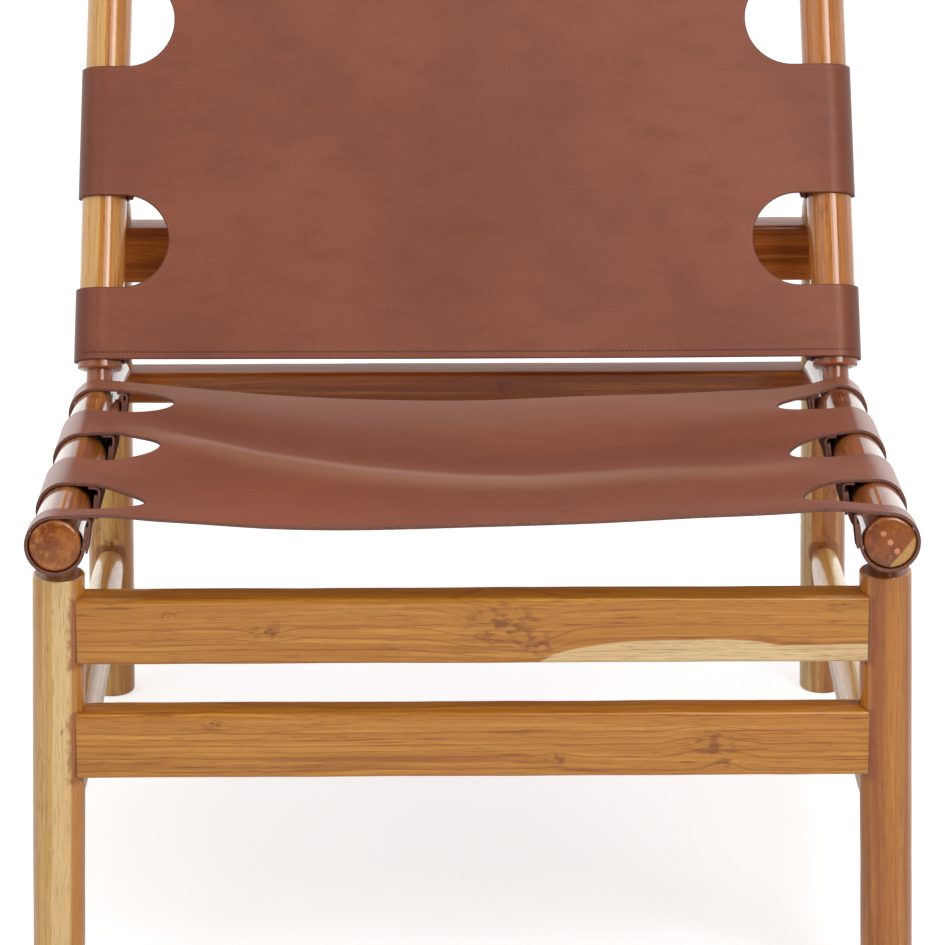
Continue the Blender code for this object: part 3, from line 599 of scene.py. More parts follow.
for label, side in SIDES:
    foot, joint = rear_leg_line(side)
    up = (joint - foot).normalized()
    start = foot - up * LEG_RADIUS
    full = (joint - foot).length + LEG_RADIUS
    taper_low, taper_high = full - BRACE_TAPER_LOW, full - BRACE_TAPER_HIGH
    stations = [(0, LEG_RADIUS)] + cylinder_run(0, taper_low, LEG_RADIUS)
    for k in range(TAPER_STEPS + 1):
        share = k / TAPER_STEPS
        eased = share * share * (3 - 2 * share)
        stations.append((taper_low + (taper_high - taper_low) * share,
                         LEG_RADIUS + (NECK_RADIUS - LEG_RADIUS) * eased))
    stations.append((full + BRACE_TENON, NECK_RADIUS))
    node = "rear_leg_" + label
    finish = teak("teak_" + node, foot, up, TOWARDS_FRONT, **REAR_LEG_LOOKS[label])
    leg = turn_stick(node, start, up, stations, finish)
    stand_on_floor(leg)
    keep_as(leg, node)


# Flat rear rails: darker, redder teak boards between the rear legs, one behind
# the back and a thinner one level with the side rails.
REAR_RAIL_LOOKS = {
    "rear_rail_upper": dict(honey=colour(204, 116, 46), pale=colour(222, 146, 64),
                            brown=colour(160, 82, 32), pith=(-0.006, 0.050), seed=7.0,
                            knots=((0.015, 0.004, 0.060, 0.016), (0.015, -0.006, 0.520, 0.014))),
    "rear_rail_lower": dict(honey=colour(184, 96, 20), pale=colour(204, 128, 36), lacquer=0.65,
                            brown=colour(144, 68, 14), pith=(-0.030, 0.030), seed=8.0,
                            knots=((0.015, 0.000, 0.330, 0.012),)),
}
for node, look in REAR_RAIL_LOOKS.items():
    plane_board(node, look)


# Side stretchers: round teak, swelled in the middle, let into the front and
# the rear leg of each side.
STRETCHER_RADIUS = 0.016
STRETCHER_END_RADIUS = 0.01125
STRETCHER_FRONT_LEVEL = 0.146
STRETCHER_LET_IN = 0.012
STRETCHER_STATIONS = 64
STRETCHER_REAR_LEVEL = 0.1330

for label, side in SIDES:
    front = leg_foot(side).lerp(leg_head(side), STRETCHER_FRONT_LEVEL / SEAT_RAIL_HEIGHT)
    foot, joint = rear_leg_line(side)
    rear = foot + (joint - foot) * (STRETCHER_REAR_LEVEL / joint.z)
    run = (rear - front).normalized()
    start = front + run * (LEG_RADIUS - STRETCHER_LET_IN)
    length = (rear - front).length - 2 * (LEG_RADIUS - STRETCHER_LET_IN)
    stations = [(0, STRETCHER_END_RADIUS)]
    for k in range(STRETCHER_STATIONS + 1):
        share = k / STRETCHER_STATIONS
        swell = math.sqrt(math.sin(math.pi * min(share, 1 - share)))
        stations.append((STRETCHER_LET_IN + (length - 2 * STRETCHER_LET_IN) * share,
                         STRETCHER_END_RADIUS + (STRETCHER_RADIUS - STRETCHER_END_RADIUS) * swell))
    stations.append((length, STRETCHER_END_RADIUS))
    node = "side_stretcher_" + label
    finish = teak("teak_" + node, start, run, TOWARDS_TOP, pale=colour(240, 206, 148),
                  honey=colour(228, 178, 108), brown=colour(198, 134, 66), lacquer=0.8,
                  brown_share=0.25, pith=(-0.030, 0.016), seed=9.0 + side,
                  patches=((0.010 * side, 0.30, 0.009, 0.40, SAPWOOD),))
    keep_as(turn_stick(node, start, run, stations, finish), node)


# Side rails: round teak with a rounded front end. They overhang the front legs
# and slope back to the rear legs.
SEAT_RAIL_OVERHANG = 0.044
RAIL_CHEEK = 0.009
RAIL_END_EDGE = 0.0035
RAIL_SHOWN_FACE = Vector((0.64, 0, 0.77))
RAIL_LOOKS = {
    "left": dict(honey=colour(178, 104, 38), pale=colour(200, 130, 58), brown=colour(130, 64, 20),
                 pith=(0.004, -0.003), ring=0.0030, drift=0.003, seed=12.0,
                 knots=((0.002, 0.001, 0.0, 0.009), (-0.004, -0.002, 0.0, 0.005))),
    "right": dict(honey=colour(150, 80, 30), pale=colour(172, 104, 46), brown=colour(114, 54, 20),
                  pith=(0.030, 0.012), ring=0.0034, drift=0.003, seed=13.0,
                  patches=((0.0215, 0.0, 0.0105, 0.05, colour(208, 158, 88)),)),
}
for label, side in SIDES:
    start = rail_axis(side, 0) - RAIL_ALONG * SEAT_RAIL_OVERHANG
    leg_face = (rail_axis(side, REAR_LEG_SETBACK) - start).length - LEG_RADIUS
    stations = rim(0, RAIL_RADIUS, RAIL_END_EDGE, -1)
    stations += cylinder_run(RAIL_END_EDGE, leg_face - RAIL_CHEEK, RAIL_RADIUS)
    stations += [(leg_face - RAIL_CHEEK, RAIL_RADIUS), (leg_face, NECK_RADIUS)]
    stations += [(leg_face + NECK_LET_IN, NECK_RADIUS)]
    node = "seat_rail_" + label
    finish = teak("teak_" + node, start, RAIL_ALONG, RAIL_SHOWN_FACE, **RAIL_LOOKS[label])
    keep_as(turn_stick(node, start, RAIL_ALONG, stations, finish), node)


# Stopping plugs: three short pale pegs glued into old holes in the right rail's
# front end and cut off almost flush.
PLUG_RADIUS = 0.0023
PLUG_PROUD = 0.0003
PLUG_LENGTH = 0.006
PLUG_PITCH = 0.0085
PLUG_EDGE = 0.0004
PLUG_LEAN = math.radians(-52)
peg_mixer = Finish("peg_wood")
peg_fibre = peg_mixer.cloud(peg_mixer.spot, (900, 900, 900), (0, 0, 0), 3.0)
peg_wood = peg_mixer.shade({
    "Base Color": peg_mixer.mix(peg_mixer.spread(peg_fibre, 0.35, 0.65),
                                colour(220, 146, 94), colour(194, 114, 66)),
    "Roughness": peg_mixer.spread(peg_fibre, 0.3, 0.7, 0.35, 0.55), "Coat Weight": 0.5})
row = Vector((math.cos(PLUG_LEAN), 0, 0)) + RAIL_NORMAL * math.sin(PLUG_LEAN)
rail_end = rail_axis(1, 0) - RAIL_ALONG * SEAT_RAIL_OVERHANG
for k in range(3):
    place = rail_end + row * (PLUG_PITCH * (k - 1)) - RAIL_ALONG * PLUG_PROUD
    stations = rim(0, PLUG_RADIUS, PLUG_EDGE, -1, 3) + [(PLUG_LENGTH, PLUG_RADIUS)]
    node = f"rail_plug_{k + 1}"
    keep_as(turn_stick(node, place, RAIL_ALONG, stations, peg_wood, sides=20, sanding=()), node)


# Back posts: round teak, leaning back from the side rails on turned necks, with
# rounded tops above the leather.
POST_RADIUS = 0.019
POST_NECK_SHOWN = 0.008
POST_TOP_EDGE = 0.0035
POST_FOOT = colour(160, 84, 52)
POST_LOOKS = {
    "left": dict(honey=colour(208, 140, 56), pale=colour(224, 168, 88), brown=colour(180, 104, 38),
                 tone=(0.92, 0.89, 0.87), brown_share=0.25, pith=(-0.045, -0.012), seed=14.0, drift=0.003,
                 patches=((-0.0135, 0.28, 0.0125, 0.25, colour(228, 178, 104)),
                          (0.0, 0.0, 0.050, 0.028, POST_FOOT))),
    "right": dict(honey=colour(196, 122, 52), pale=colour(212, 148, 74), brown=colour(166, 92, 34),
                  tone=(0.87, 0.83, 0.76), brown_share=0.45, pith=(-0.040, 0.030), seed=15.0, drift=0.004,
                  knots=((0.018, -0.006, 0.140, 0.006),),
                  patches=((0.0, 0.0, 0.050, 0.028, POST_FOOT),)),
}
for label, side in SIDES:
    up = post_along(side)
    base = post_base(side)
    stations = [(-NECK_LET_IN, NECK_RADIUS), (POST_NECK_SHOWN - STEP_DOWN, NECK_RADIUS)]
    stations += rim(POST_NECK_SHOWN, POST_RADIUS, SHOULDER_EDGE, -1)
    stations += cylinder_run(POST_NECK_SHOWN + SHOULDER_EDGE, POST_LENGTH - POST_TOP_EDGE, POST_RADIUS)
    stations += rim(POST_LENGTH, POST_RADIUS, POST_TOP_EDGE, 1)
    node = "back_post_" + label
    finish = teak("teak_" + node, base, up, TOWARDS_FRONT, **POST_LOOKS[label])
    keep_as(turn_stick(node, base, up, stations, finish), node)


# Seat: one hide of thick saddle leather, slotted into four straps a side. Each
# strap goes over the rail, round it and back up its inner side.
LEATHER = 0.0025
STRAP_SLACK = 0.0005
GLUE_GAP = 0.0003
TAB_THICKNESS = 0.0018
TAB_DROP = 0.005
TAB_BEND = 0.0035
TAB_LAP = 0.009
LOOP_LEAVE = math.radians(262)
CUTOUT_REACH = 0.062
STRAP_CLEARANCE = 0.0035
SEAT_MIDDLE_STRAP = 0.094
SEAT_REAR_STRAP = 0.036
SEAT_SAG_FRONT, SEAT_SAG_MIDDLE, SEAT_SAG_REAR = 0.0085, 0.026, 0.0215
SHEET_COLUMNS = 60
SLOT_COLUMNS = 14
STRAP_COLUMNS = 4
LOOP_STEPS = 44
END_STEPS = 5
ROW_STEP = 0.0036
WELD = 0.00004
ARRIS = 0.0006
ARRIS_ANGLE = math.radians(50)
STITCH_LENGTH = 0.0017
# Distances from a cut edge where the waxed edge ends, and where the pale line beside it starts and ends: a
# line that is partly rubbed wear and partly painted highlight.
WAXED_EDGE, RUBBED_HIGHLIGHT_START, RUBBED_HIGHLIGHT_END = (0.0002, 0.0012), (0.0008, 0.0016), (0.0018, 0.0034)
# Distances from the chair's middle where the straps' outer bends are painted darker as shade, and where
# they shine.
SHADED_BEND, SHINY_BEND = (0.312, 0.331), (0.306, 0.316)
BEND_ROUGHNESS = 0.24
POLISHED_ROUGHNESS = 0.36
# Patterns of the leather: waves per metre for each axis, where they start, and detail.
CLOUDY, MOTTLED = ((6, 6, 6), (3, 1, 2), 2.0), ((26, 60, 60), (1, 4, 2), 4.0)
FINE, PULLED = ((420, 420, 420), (0, 0, 0), 3.0), ((9, 170, 170), (5, 2, 7), 3.0)
RAW_FIBRE = ((700, 700, 700), (0, 0, 0), 4.0)
PEBBLES = 950.0
HIDE_RELIEF = {"Strength": 0.22, "Distance": 0.0004}
RAW_RELIEF = {"Strength": 0.5, "Distance": 0.0004}

HIDE_BROWN = colour(136, 76, 56)
HIDE_DEEP = colour(116, 60, 44)
HIDE_WARM = colour(150, 84, 60)
EDGE_BROWN = colour(84, 44, 32)
EDGE_RUBBED_HIGHLIGHT = colour(168, 108, 78)
EDGE_FIBRE = colour(122, 74, 56)
EDGE_WAXED = colour(92, 52, 40)
HIDE_PAINTED_SHEEN = colour(200, 160, 136)
HIDE_BEND_SHADE = colour(104, 52, 36)
THREAD_BROWN = colour(58, 30, 22)


def saddle_leather(name, tone=(1, 1, 1), hem=0.0, hem_share=0.0, hem_sheen_reach=0.0, bent=0.0,
                   polish=0.0, roughness=0.62, sheen=0.22):
    """Smooth saddle leather with a pale arris line, a waxed cut edge and a sewn hem line.

    The pale arris line is partly rubbed wear and partly painted highlight. hem is how far the sewing line
    runs from the hemmed edge, hem_share how dark it is, and the reach after them how far from there the
    hide is painted paler as a sheen. bent is how much its outer bends are painted darker as shade, and
    polish how much they shine. Along a crest it is smoother and painted paler as a sheen, and just behind
    the crest it is painted darker as shade.
    """
    hide = Finish(name)
    fine = hide.cloud(hide.spot, *FINE)
    tint = hide.mix(hide.spread(hide.cloud(hide.spot, *CLOUDY), 0.35, 0.65), HIDE_BROWN, HIDE_WARM)
    tint = hide.mix(hide.spread(hide.cloud(hide.spot, *MOTTLED), 0.42, 0.76, 0, 0.35), tint, HIDE_DEEP)
    tint = hide.mix(hide.spread(hide.cloud(hide.spot, *PULLED), 0.50, 0.76, 0, 0.22), tint, HIDE_WARM)
    tint = hide.mix(hide.spread(fine, 0.40, 0.75, 0, 0.22), tint, HIDE_DEEP)
    edge, from_hem, crest_polish_and_painted_light = (hide.step("Attribute", attribute_name=field, output="Fac")
                                for field in ("edge_distance", "hem_distance", "crest"))
    # The pale line along the arris is partly rubbed wear and partly painted highlight.
    rubbed_highlight_line = hide.maths("MULTIPLY", hide.spread(edge, *RUBBED_HIGHLIGHT_START), hide.spread(edge, *RUBBED_HIGHLIGHT_END, 1, 0))
    tint = hide.mix(hide.maths("MULTIPLY", rubbed_highlight_line, hide.spread(fine, 0.30, 0.70, 0.0, 0.16)), tint,
                    EDGE_RUBBED_HIGHLIGHT)
    tint = hide.mix(hide.spread(edge, *WAXED_EDGE, 0.80, 0), tint, EDGE_BROWN)
    across, = hide.axes(hide.spot, "X")
    dent = 0.0
    if hem:
        off = hide.maths("ABSOLUTE", hide.maths("SUBTRACT", from_hem, hem))
        sewn = hide.maths("MULTIPLY", hide.spread(off, 0.0002, 0.0008, 0.8, 0),
                          hide.spread(hide.maths("PINGPONG", across, STITCH_LENGTH),
                                      STITCH_LENGTH * 0.30, STITCH_LENGTH * 0.60))
        line = hide.spread(off, 0.0004, 0.0011, 0.50, 0)
        tint = hide.mix(hide.maths("MULTIPLY", line, hem_share), tint, HIDE_DEEP)
        tint = hide.mix(hide.maths("MULTIPLY", sewn, hem_share), tint, THREAD_BROWN)
        dent = hide.maths("MULTIPLY", line, -2.0)
    # Towards its hem the hide is painted paler as a sheen.
    if hem_sheen_reach:
        tint = hide.mix(hide.spread(from_hem, 0, hem_sheen_reach, 0.24, 0), tint, HIDE_PAINTED_SHEEN)
    aside = hide.maths("ABSOLUTE", across)
    # Along the crest the hide is painted paler as a sheen, just behind it darker as shade, and on the
    # straps' outer bends darker as shade.
    for share, paint in ((hide.spread(crest_polish_and_painted_light, 0, 1, 0, 0.36), HIDE_PAINTED_SHEEN),
                         (hide.spread(crest_polish_and_painted_light, -1, 0, 0.45, 0), HIDE_DEEP),
                         (hide.spread(aside, *SHADED_BEND, 0, bent), HIDE_BEND_SHADE)):
        tint = hide.mix(share, tint, paint)
    pebble = hide.step("TexVoronoi", {"Vector": hide.spot, "Scale": PEBBLES}, "Distance",
                       feature="SMOOTH_F1")
    relief = hide.maths("ADD", hide.maths("MULTIPLY", pebble, 0.5), hide.maths("MULTIPLY", fine, 0.8))
    relief = hide.maths("ADD", relief, dent)
    return hide.shade({"Base Color": hide.mix(1.0, tint, (*tone, 1), "MULTIPLY"),
                       "Roughness": hide.spread(crest_polish_and_painted_light, 0, 1, roughness, POLISHED_ROUGHNESS),
                       "Specular IOR Level": sheen,
                       "Coat Weight": hide.spread(aside, *SHINY_BEND, 0, polish),
                       "Coat Roughness": BEND_ROUGHNESS,
                       "Normal": hide.step("Bump", {**HIDE_RELIEF, "Height": relief})})


def cut_edge():
    """The raw edge of the hide: fibrous, darker, waxed by hand."""
    raw = Finish("leather_cut_edge")
    fibre = raw.cloud(raw.spot, *RAW_FIBRE)
    return raw.shade({"Base Color": raw.mix(raw.spread(fibre, 0.35, 0.7), EDGE_FIBRE, EDGE_WAXED),
                      "Roughness": raw.spread(fibre, 0.3, 0.7, 0.45, 0.75),
                      "Normal": raw.step("Bump", {**RAW_RELIEF, "Height": fibre})})


def bands(plan):
    """Start and end of each strap, as distances along the sticks."""
    found = []
    reach = 0
    for width in plan.straps:
        found.append((reach, reach + width))
        reach += width + plan.cut
    return found


def strap_lines(plan, u):
    """The strap's section at distances u: how it leaves, hangs, loops and ends."""
    spacing = plan.half_spacing(u)
    radius = plan.stick_radius + STRAP_SLACK + LEATHER / 2
    leave = np.arctan(2 * plan.sag(u) / spacing)
    touch = spacing - radius * np.sin(leave)

    def sheet(x):
        return radius * np.cos(leave) - (touch ** 2 - x ** 2) / (2 * touch) * np.tan(leave)

    def loop(share):
        angle = -leave + (LOOP_LEAVE + leave) * share
        return spacing + radius * np.sin(angle), radius * np.cos(angle)

    up_x, up_y = math.cos(LOOP_LEAVE), -math.sin(LOOP_LEAVE)
    end_x, end_y = loop(1.0)
    step = (LEATHER + TAB_THICKNESS) / 2 + GLUE_GAP
    foot_x, foot_y = end_x - up_y * step, end_y + up_x * step
    foot_x = foot_x + up_x / up_y * (-TAB_DROP - foot_y)
    # The fold lies where the tab's slant meets the underside of the hanging sheet.
    fold_x = foot_x
    for _ in range(4):
        fold_y = sheet(fold_x) - step
        fold_x = foot_x + up_x / up_y * (fold_y + TAB_DROP)
    stop_y = fold_y - TAB_BEND - GLUE_GAP
    stop_x = end_x + up_x / up_y * (stop_y - end_y)
    return SimpleNamespace(sheet=sheet, touch=touch, loop=loop, end=(end_x, end_y),
                           stop=(stop_x, stop_y), foot_x=foot_x, fold=(fold_x, fold_y), step=step)


def to_world(plan, u, x, height):
    """Points of the hide's own frame in the chair's frame."""
    return (np.array(plan.origin) + np.multiply.outer(u, np.array(plan.along))
            + np.multiply.outer(x, np.array((1.0, 0, 0)))
            + np.multiply.outer(height, np.array(plan.normal)))


def hide_columns(plan):
    """Columns from the middle to a strap's end: (slot half width, place function)."""
    slot = plan.cut / 2

    def on_sheet(x_of):
        def place(u, side):
            lines = strap_lines(plan, u)
            x = x_of(u, side, lines)
            return x, lines.sheet(x)
        return place

    def tip(u, side):
        return plan.half_spacing(u) - CUTOUT_REACH + side * plan.slot_shift(u)

    columns = []
    for k in range(SHEET_COLUMNS + 1):
        columns.append((0, on_sheet(lambda u, side, lines, share=k / SHEET_COLUMNS: tip(u, side) * share)))
    for k in range(1, SLOT_COLUMNS + 1):
        turn = math.pi / 2 * k / SLOT_COLUMNS
        columns.append((slot * math.sin(turn), on_sheet(
            lambda u, side, lines, turn=turn: tip(u, side) + slot * (1 - math.cos(turn)))))
    for k in range(1, STRAP_COLUMNS + 1):
        columns.append((slot, on_sheet(
            lambda u, side, lines, share=k / (STRAP_COLUMNS + 1):
            (tip(u, side) + slot) * (1 - share) + lines.touch * share)))
    for k in range(LOOP_STEPS + 1):
        columns.append((slot, lambda u, side, share=k / LOOP_STEPS: strap_lines(plan, u).loop(share)))
    for k in range(1, END_STEPS + 1):
        def ending(u, side, share=k / END_STEPS):
            lines = strap_lines(plan, u)
            return (lines.end[0] * (1 - share) + lines.stop[0] * share,
                    lines.end[1] * (1 - share) + lines.stop[1] * share)
        columns.append((slot, ending))
    return columns


def from_edge(plan, u, x):
    """Distance along the hide to its nearest cut edge."""
    slot = plan.cut / 2
    nearest = np.minimum(u, plan.length - u)
    centre = plan.half_spacing(u) - CUTOUT_REACH + slot + np.sign(x) * plan.slot_shift(u)
    for low, high in bands(plan)[:-1]:
        off = u - (high + slot)
        round_end = np.hypot(np.abs(x) - centre, off) - slot
        nearest = np.minimum(nearest, np.where(np.abs(x) < centre, round_end, np.abs(off) - slot))
    return nearest


def grid_faces(first, columns, rows):
    """Faces between neighbouring columns of points, rows high, from the first point on."""
    corners = [first + column * (rows + 1) + row for column in range(columns - 1) for row in range(rows)]
    return [(corner, corner + rows + 1, corner + rows + 2, corner + 1) for corner in corners]


def lay_leather(name, points, faces, finish, thickness, fields=None):
    """Leather of even thickness through a grid of points, with its cut edge all round.

    fields are values at the points, which stay on the leather. With them, the grid's
    parts are first joined where they meet.
    """
    mesh = bpy.data.meshes.new(name)
    mesh.from_pydata(points, [], faces)
    leather = bpy.data.objects.new(name, mesh)
    bpy.context.scene.collection.objects.link(leather)
    bpy.context.view_layer.objects.active = leather
    leather.select_set(True)
    if fields:
        for field, values in fields.items():
            mesh.attributes.new(field, "FLOAT", "POINT").data.foreach_set("value", values)
        bpy.ops.object.mode_set(mode="EDIT")
        bpy.ops.mesh.select_all(action="SELECT")
        bpy.ops.mesh.remove_doubles(threshold=WELD)
        bpy.ops.mesh.normals_make_consistent(inside=False)
        bpy.ops.object.mode_set(mode="OBJECT")
    mesh.materials.append(finish)
    mesh.materials.append(edge_leather)
    wall = leather.modifiers.new("thickness", "SOLIDIFY")
    wall.thickness = thickness
    wall.offset = 0
    wall.material_offset_rim = 1
    bpy.ops.object.modifier_apply(modifier=wall.name)
    return leather


def cut_hide(name, plan, finish, crease):
    """Cut a hide, loop its straps round the sticks, and give it its thickness.

    crease gives the hide's unevenness at a place, and how much it is polished and painted paler as a sheen
    there; where that is below zero, the hide is painted darker as shade.
    """
    slot = plan.cut / 2
    columns = hide_columns(plan)
    count = len(columns)
    points, faces, edge_distances, hem_distances, crest_polish_and_light = [], [], [], [], []
    spans = bands(plan)
    for band, (low, high) in enumerate(spans):
        rows = max(2, round((high - low + plan.cut) / ROW_STEP))
        shares = np.linspace(0, 1, rows + 1)
        faces.extend(grid_faces(len(points), 2 * count - 1, rows))
        for index in range(-(count - 1), count):
            half, place = columns[abs(index)]
            first = low if band == 0 else low - slot + half
            last = high if band == len(spans) - 1 else high + slot - half
            u = first + (last - first) * shares
            side = -1 if index < 0 else 1
            x, height = place(u, side)
            x = x * side
            # crest here is how much the hide is polished and painted there: a sheen above zero, shade
            # below.
            uneven, crest = crease(u, x)
            if abs(index) <= SHEET_COLUMNS + SLOT_COLUMNS + STRAP_COLUMNS:
                height = height + uneven
            points.extend(to_world(plan, u, x, height))
            edge_distances.extend(from_edge(plan, u, x))
            hem_distances.extend(plan.from_hem(u))
            crest_polish_and_light.extend(crest)
    hide = lay_leather(name, points, faces, finish, LEATHER, {
        "edge_distance": edge_distances, "hem_distance": hem_distances, "crest": crest_polish_and_light})
    softened = hide.modifiers.new("softened_edge", "BEVEL")
    softened.width = ARRIS
    softened.segments = 2
    softened.limit_method = "ANGLE"
    softened.angle_limit = ARRIS_ANGLE
    bpy.ops.object.modifier_apply(modifier=softened.name)
    bpy.ops.object.shade_smooth_by_angle(angle=SMOOTH_ANGLE)
    hide.select_set(False)
    return hide


# The seat's hide is painted paler as a sheen towards its rear hem.
seat_leather = saddle_leather("seat_leather", tone=(0.80, 0.70, 0.58), hem=0.0022, hem_share=0.75,
                              hem_sheen_reach=0.16, polish=0.47, roughness=0.56)
edge_leather = cut_edge()
seat_length = (SEAT_RAIL_OVERHANG + POST_SETBACK / math.cos(SEAT_RAIL_SLOPE)
               - NECK_RADIUS - STRAP_CLEARANCE)
seat_front_strap = SEAT_RAIL_OVERHANG - NECK_RADIUS - 2 * STRAP_CLEARANCE
seat_straps = (seat_front_strap, SEAT_MIDDLE_STRAP, SEAT_MIDDLE_STRAP, SEAT_REAR_STRAP)


def seat_sag(u):
    share = u / seat_length
    ends = SEAT_SAG_FRONT + (SEAT_SAG_REAR - SEAT_SAG_FRONT) * share
    belly = SEAT_SAG_MIDDLE - (SEAT_SAG_FRONT + SEAT_SAG_REAR) / 2
    return ends + belly * 4 * share * (1 - share)


SEAT_SLOT_SHIFT, SEAT_SLOT_DRIFT = 0.0012, 0.0105
seat_plan = SimpleNamespace(
    origin=Vector((0, FRONT_Y, SEAT_RAIL_HEIGHT)) - RAIL_ALONG * SEAT_RAIL_OVERHANG,
    along=RAIL_ALONG, normal=RAIL_NORMAL, stick_radius=RAIL_RADIUS, length=seat_length,
    half_spacing=lambda u: np.full_like(u, SIDE_SPACING / 2), sag=seat_sag, straps=seat_straps,
    cut=(seat_length - sum(seat_straps)) / (len(seat_straps) - 1),
    from_hem=lambda u: seat_length - u,
    slot_shift=lambda u: SEAT_SLOT_SHIFT + SEAT_SLOT_DRIFT * u)

# How far the used seat hangs above (+) or below (-) an even curve, in millimetres,
# at places (distance from its front edge, x).
SEAT_HANG = (
    (0.000, -0.281, 2.6), (0.000, -0.241, 1.5), (0.000, -0.203, 0.3), (0.000, -0.153, -1.7),
    (0.000, -0.092, -1.8), (0.000, 0.000, 0.8), (0.000, 0.095, 2.7), (0.000, 0.170, 4.7),
    (0.000, 0.237, 5.2), (0.000, 0.278, 4.8), (0.026, -0.279, 1.4), (0.026, -0.262, 2.5),
    (0.026, 0.263, 5.7), (0.026, 0.280, 4.5), (0.117, -0.285, 1.4), (0.117, -0.260, -1.6),
    (0.117, 0.275, 3.6), (0.071, -0.248, -0.1), (0.071, 0.250, 1.0), (0.211, -0.283, 0.9),
    (0.211, -0.267, 3.9), (0.211, 0.278, 1.1), (0.302, -0.285, 4.9), (0.302, -0.265, 4.8),
    (0.302, 0.284, 1.2), (0.257, -0.246, 8.0), (0.257, 0.253, -0.7), (0.396, -0.270, 3.5),
    (0.396, 0.280, 1.9), (0.487, -0.291, 1.3), (0.487, -0.273, 1.9), (0.487, 0.288, -3.8),
    (0.442, -0.243, 5.7), (0.442, 0.258, -0.4), (0.523, -0.260, 1.4), (0.523, -0.218, 1.6),
    (0.523, -0.155, 1.4), (0.523, -0.070, 1.8), (0.523, 0.010, 2.2), (0.523, 0.099, 3.4),
    (0.523, 0.162, 1.0), (0.523, 0.226, -1.6), (0.523, 0.289, -3.3))
# Where it holds to both rails: distances from its front edge, and from the middle.
HELD_PLACES = (0.0, 0.013, 0.026, 0.117, 0.164, 0.211, 0.302, 0.349, 0.396, 0.487, 0.523)
HELD_ASIDE = 0.3116
HANG_STIFFNESS = 0.00001
# The taut crest that runs from the left rear straps to the right front ones:
# (x, distance of the crest from the front edge, its height in millimetres)
SEAT_CREST = ((-0.29, 0.335, 0.0), (-0.25, 0.305, 1.6), (-0.208, 0.264, 3.2), (-0.167, 0.236, 3.8),
              (-0.127, 0.225, 3.8), (-0.087, 0.213, 3.6), (-0.038, 0.204, 3.4), (0.011, 0.194, 3.2),
              (0.051, 0.194, 2.9), (0.091, 0.205, 2.4), (0.131, 0.214, 1.8), (0.171, 0.210, 1.4),
              (0.209, 0.196, 1.2), (0.249, 0.192, 0.8), (0.290, 0.190, 0.0))
CREST_FRONT_WIDTH = 0.085
CREST_REAR_WIDTH = 0.036
CREST_HEIGHT = 3.8
# A band just behind the crest is polished and painted paler as a sheen, and a band further behind is
# painted darker as shade: how far behind the crest each lies, and its width.
POLISH_AND_SHEEN_BEHIND, POLISH_AND_SHEEN_WIDTH = 0.004, 0.040
PAINTED_SHADE_BEHIND, PAINTED_SHADE_WIDTH = 0.085, 0.045


def bent_plate(knots, stiffness):
    """Smooth field through (u, x, height) knots: a thin plate that gives a little."""
    knots = np.array(knots)

    def kernel(a, b):
        gap = np.hypot(np.subtract.outer(a[0], b[0]), np.subtract.outer(a[1], b[1]))
        return gap ** 2 * np.log(np.maximum(gap, 1e-9))

    place, height = knots[:, :2].T, knots[:, 2]
    plane = np.vstack((np.ones(len(knots)), place)).T
    bending = kernel(place, place) + stiffness * np.eye(len(knots))
    system = np.block([[bending, plane], [plane.T, np.zeros((3, 3))]])
    weights = np.linalg.solve(system, np.concatenate((height, np.zeros(3))))

    def field(u, x):
        asked = np.array((u, x))
        plain = weights[-3] + weights[-2] * asked[0] + weights[-1] * asked[1]
        return kernel(asked, place) @ weights[:-3] + plain
    return field


rail_hold = [(u, x, 0.0) for u in HELD_PLACES for x in (-HELD_ASIDE, HELD_ASIDE)]
seat_field = bent_plate(list(SEAT_HANG) + rail_hold, HANG_STIFFNESS)
crest_x, crest_u, crest_rise = np.array(SEAT_CREST).T


def seat_crease(u, x):
    """The uneven hang of the used seat, and how much it is polished and painted there: paler as a sheen
    along its crest, darker as shade behind it.
    """
    past_crest = u - np.interp(x, crest_x, crest_u)
    width = np.where(past_crest < 0, CREST_FRONT_WIDTH, CREST_REAR_WIDTH)
    height = np.interp(x, crest_x, crest_rise)
    crest = height * np.exp(-(past_crest / width) ** 2)
    band = np.exp(-((past_crest - POLISH_AND_SHEEN_BEHIND) / POLISH_AND_SHEEN_WIDTH) ** 2)
    shade_behind_crest = np.exp(-((past_crest - PAINTED_SHADE_BEHIND) / PAINTED_SHADE_WIDTH) ** 2)
    return (seat_field(u, x) + crest) / 1000, (band - shade_behind_crest) * np.sqrt(height / CREST_HEIGHT)


seat = cut_hide("seat_hide", seat_plan, seat_leather, seat_crease)


def flat_size(plan):
    """Width and length of a hide before it was looped, and its area."""
    u = np.array([plan.length / 2])
    lines = strap_lines(plan, u)
    run = np.linspace(0, float(lines.touch[0]), 60)
    heights = np.array([float(lines.sheet(np.array([x]))[0]) for x in run])
    hanging = np.hypot(np.diff(run), np.diff(heights)).sum()
    radius = plan.stick_radius + STRAP_SLACK + LEATHER / 2
    leave = math.atan(2 * float(plan.sag(u)[0]) / float(plan.half_spacing(u)[0]))
    looped = radius * (LOOP_LEAVE + leave)
    ending = math.hypot(float(lines.stop[0][0] - lines.end[0][0]),
                        float(lines.stop[1][0] - lines.end[1][0]))
    width = 2 * (hanging + looped + ending)
    slot = plan.cut / 2
    slot_length = width / 2 - float(plan.half_spacing(u)[0]) + CUTOUT_REACH - slot
    slots = 2 * (len(plan.straps) - 1) * (math.pi * slot ** 2 / 2 + plan.cut * slot_length)
    return (width, plan.length), width * plan.length - slots


seat_flat, seat_area = flat_size(seat_plan)


# Tabs: short strips of thinner leather, lapped under the sheet and hung down
# the inner end of every strap, with torn edges.
TORN_STEP = 0.002
TORN_DEPTH = 0.0024
FALL_STEPS, FOLD_STEPS, LAP_STEPS = 7, 5, 3
tab_leather = saddle_leather("tab_leather", tone=(0.7, 0.66, 0.62), roughness=0.95, sheen=0.05)


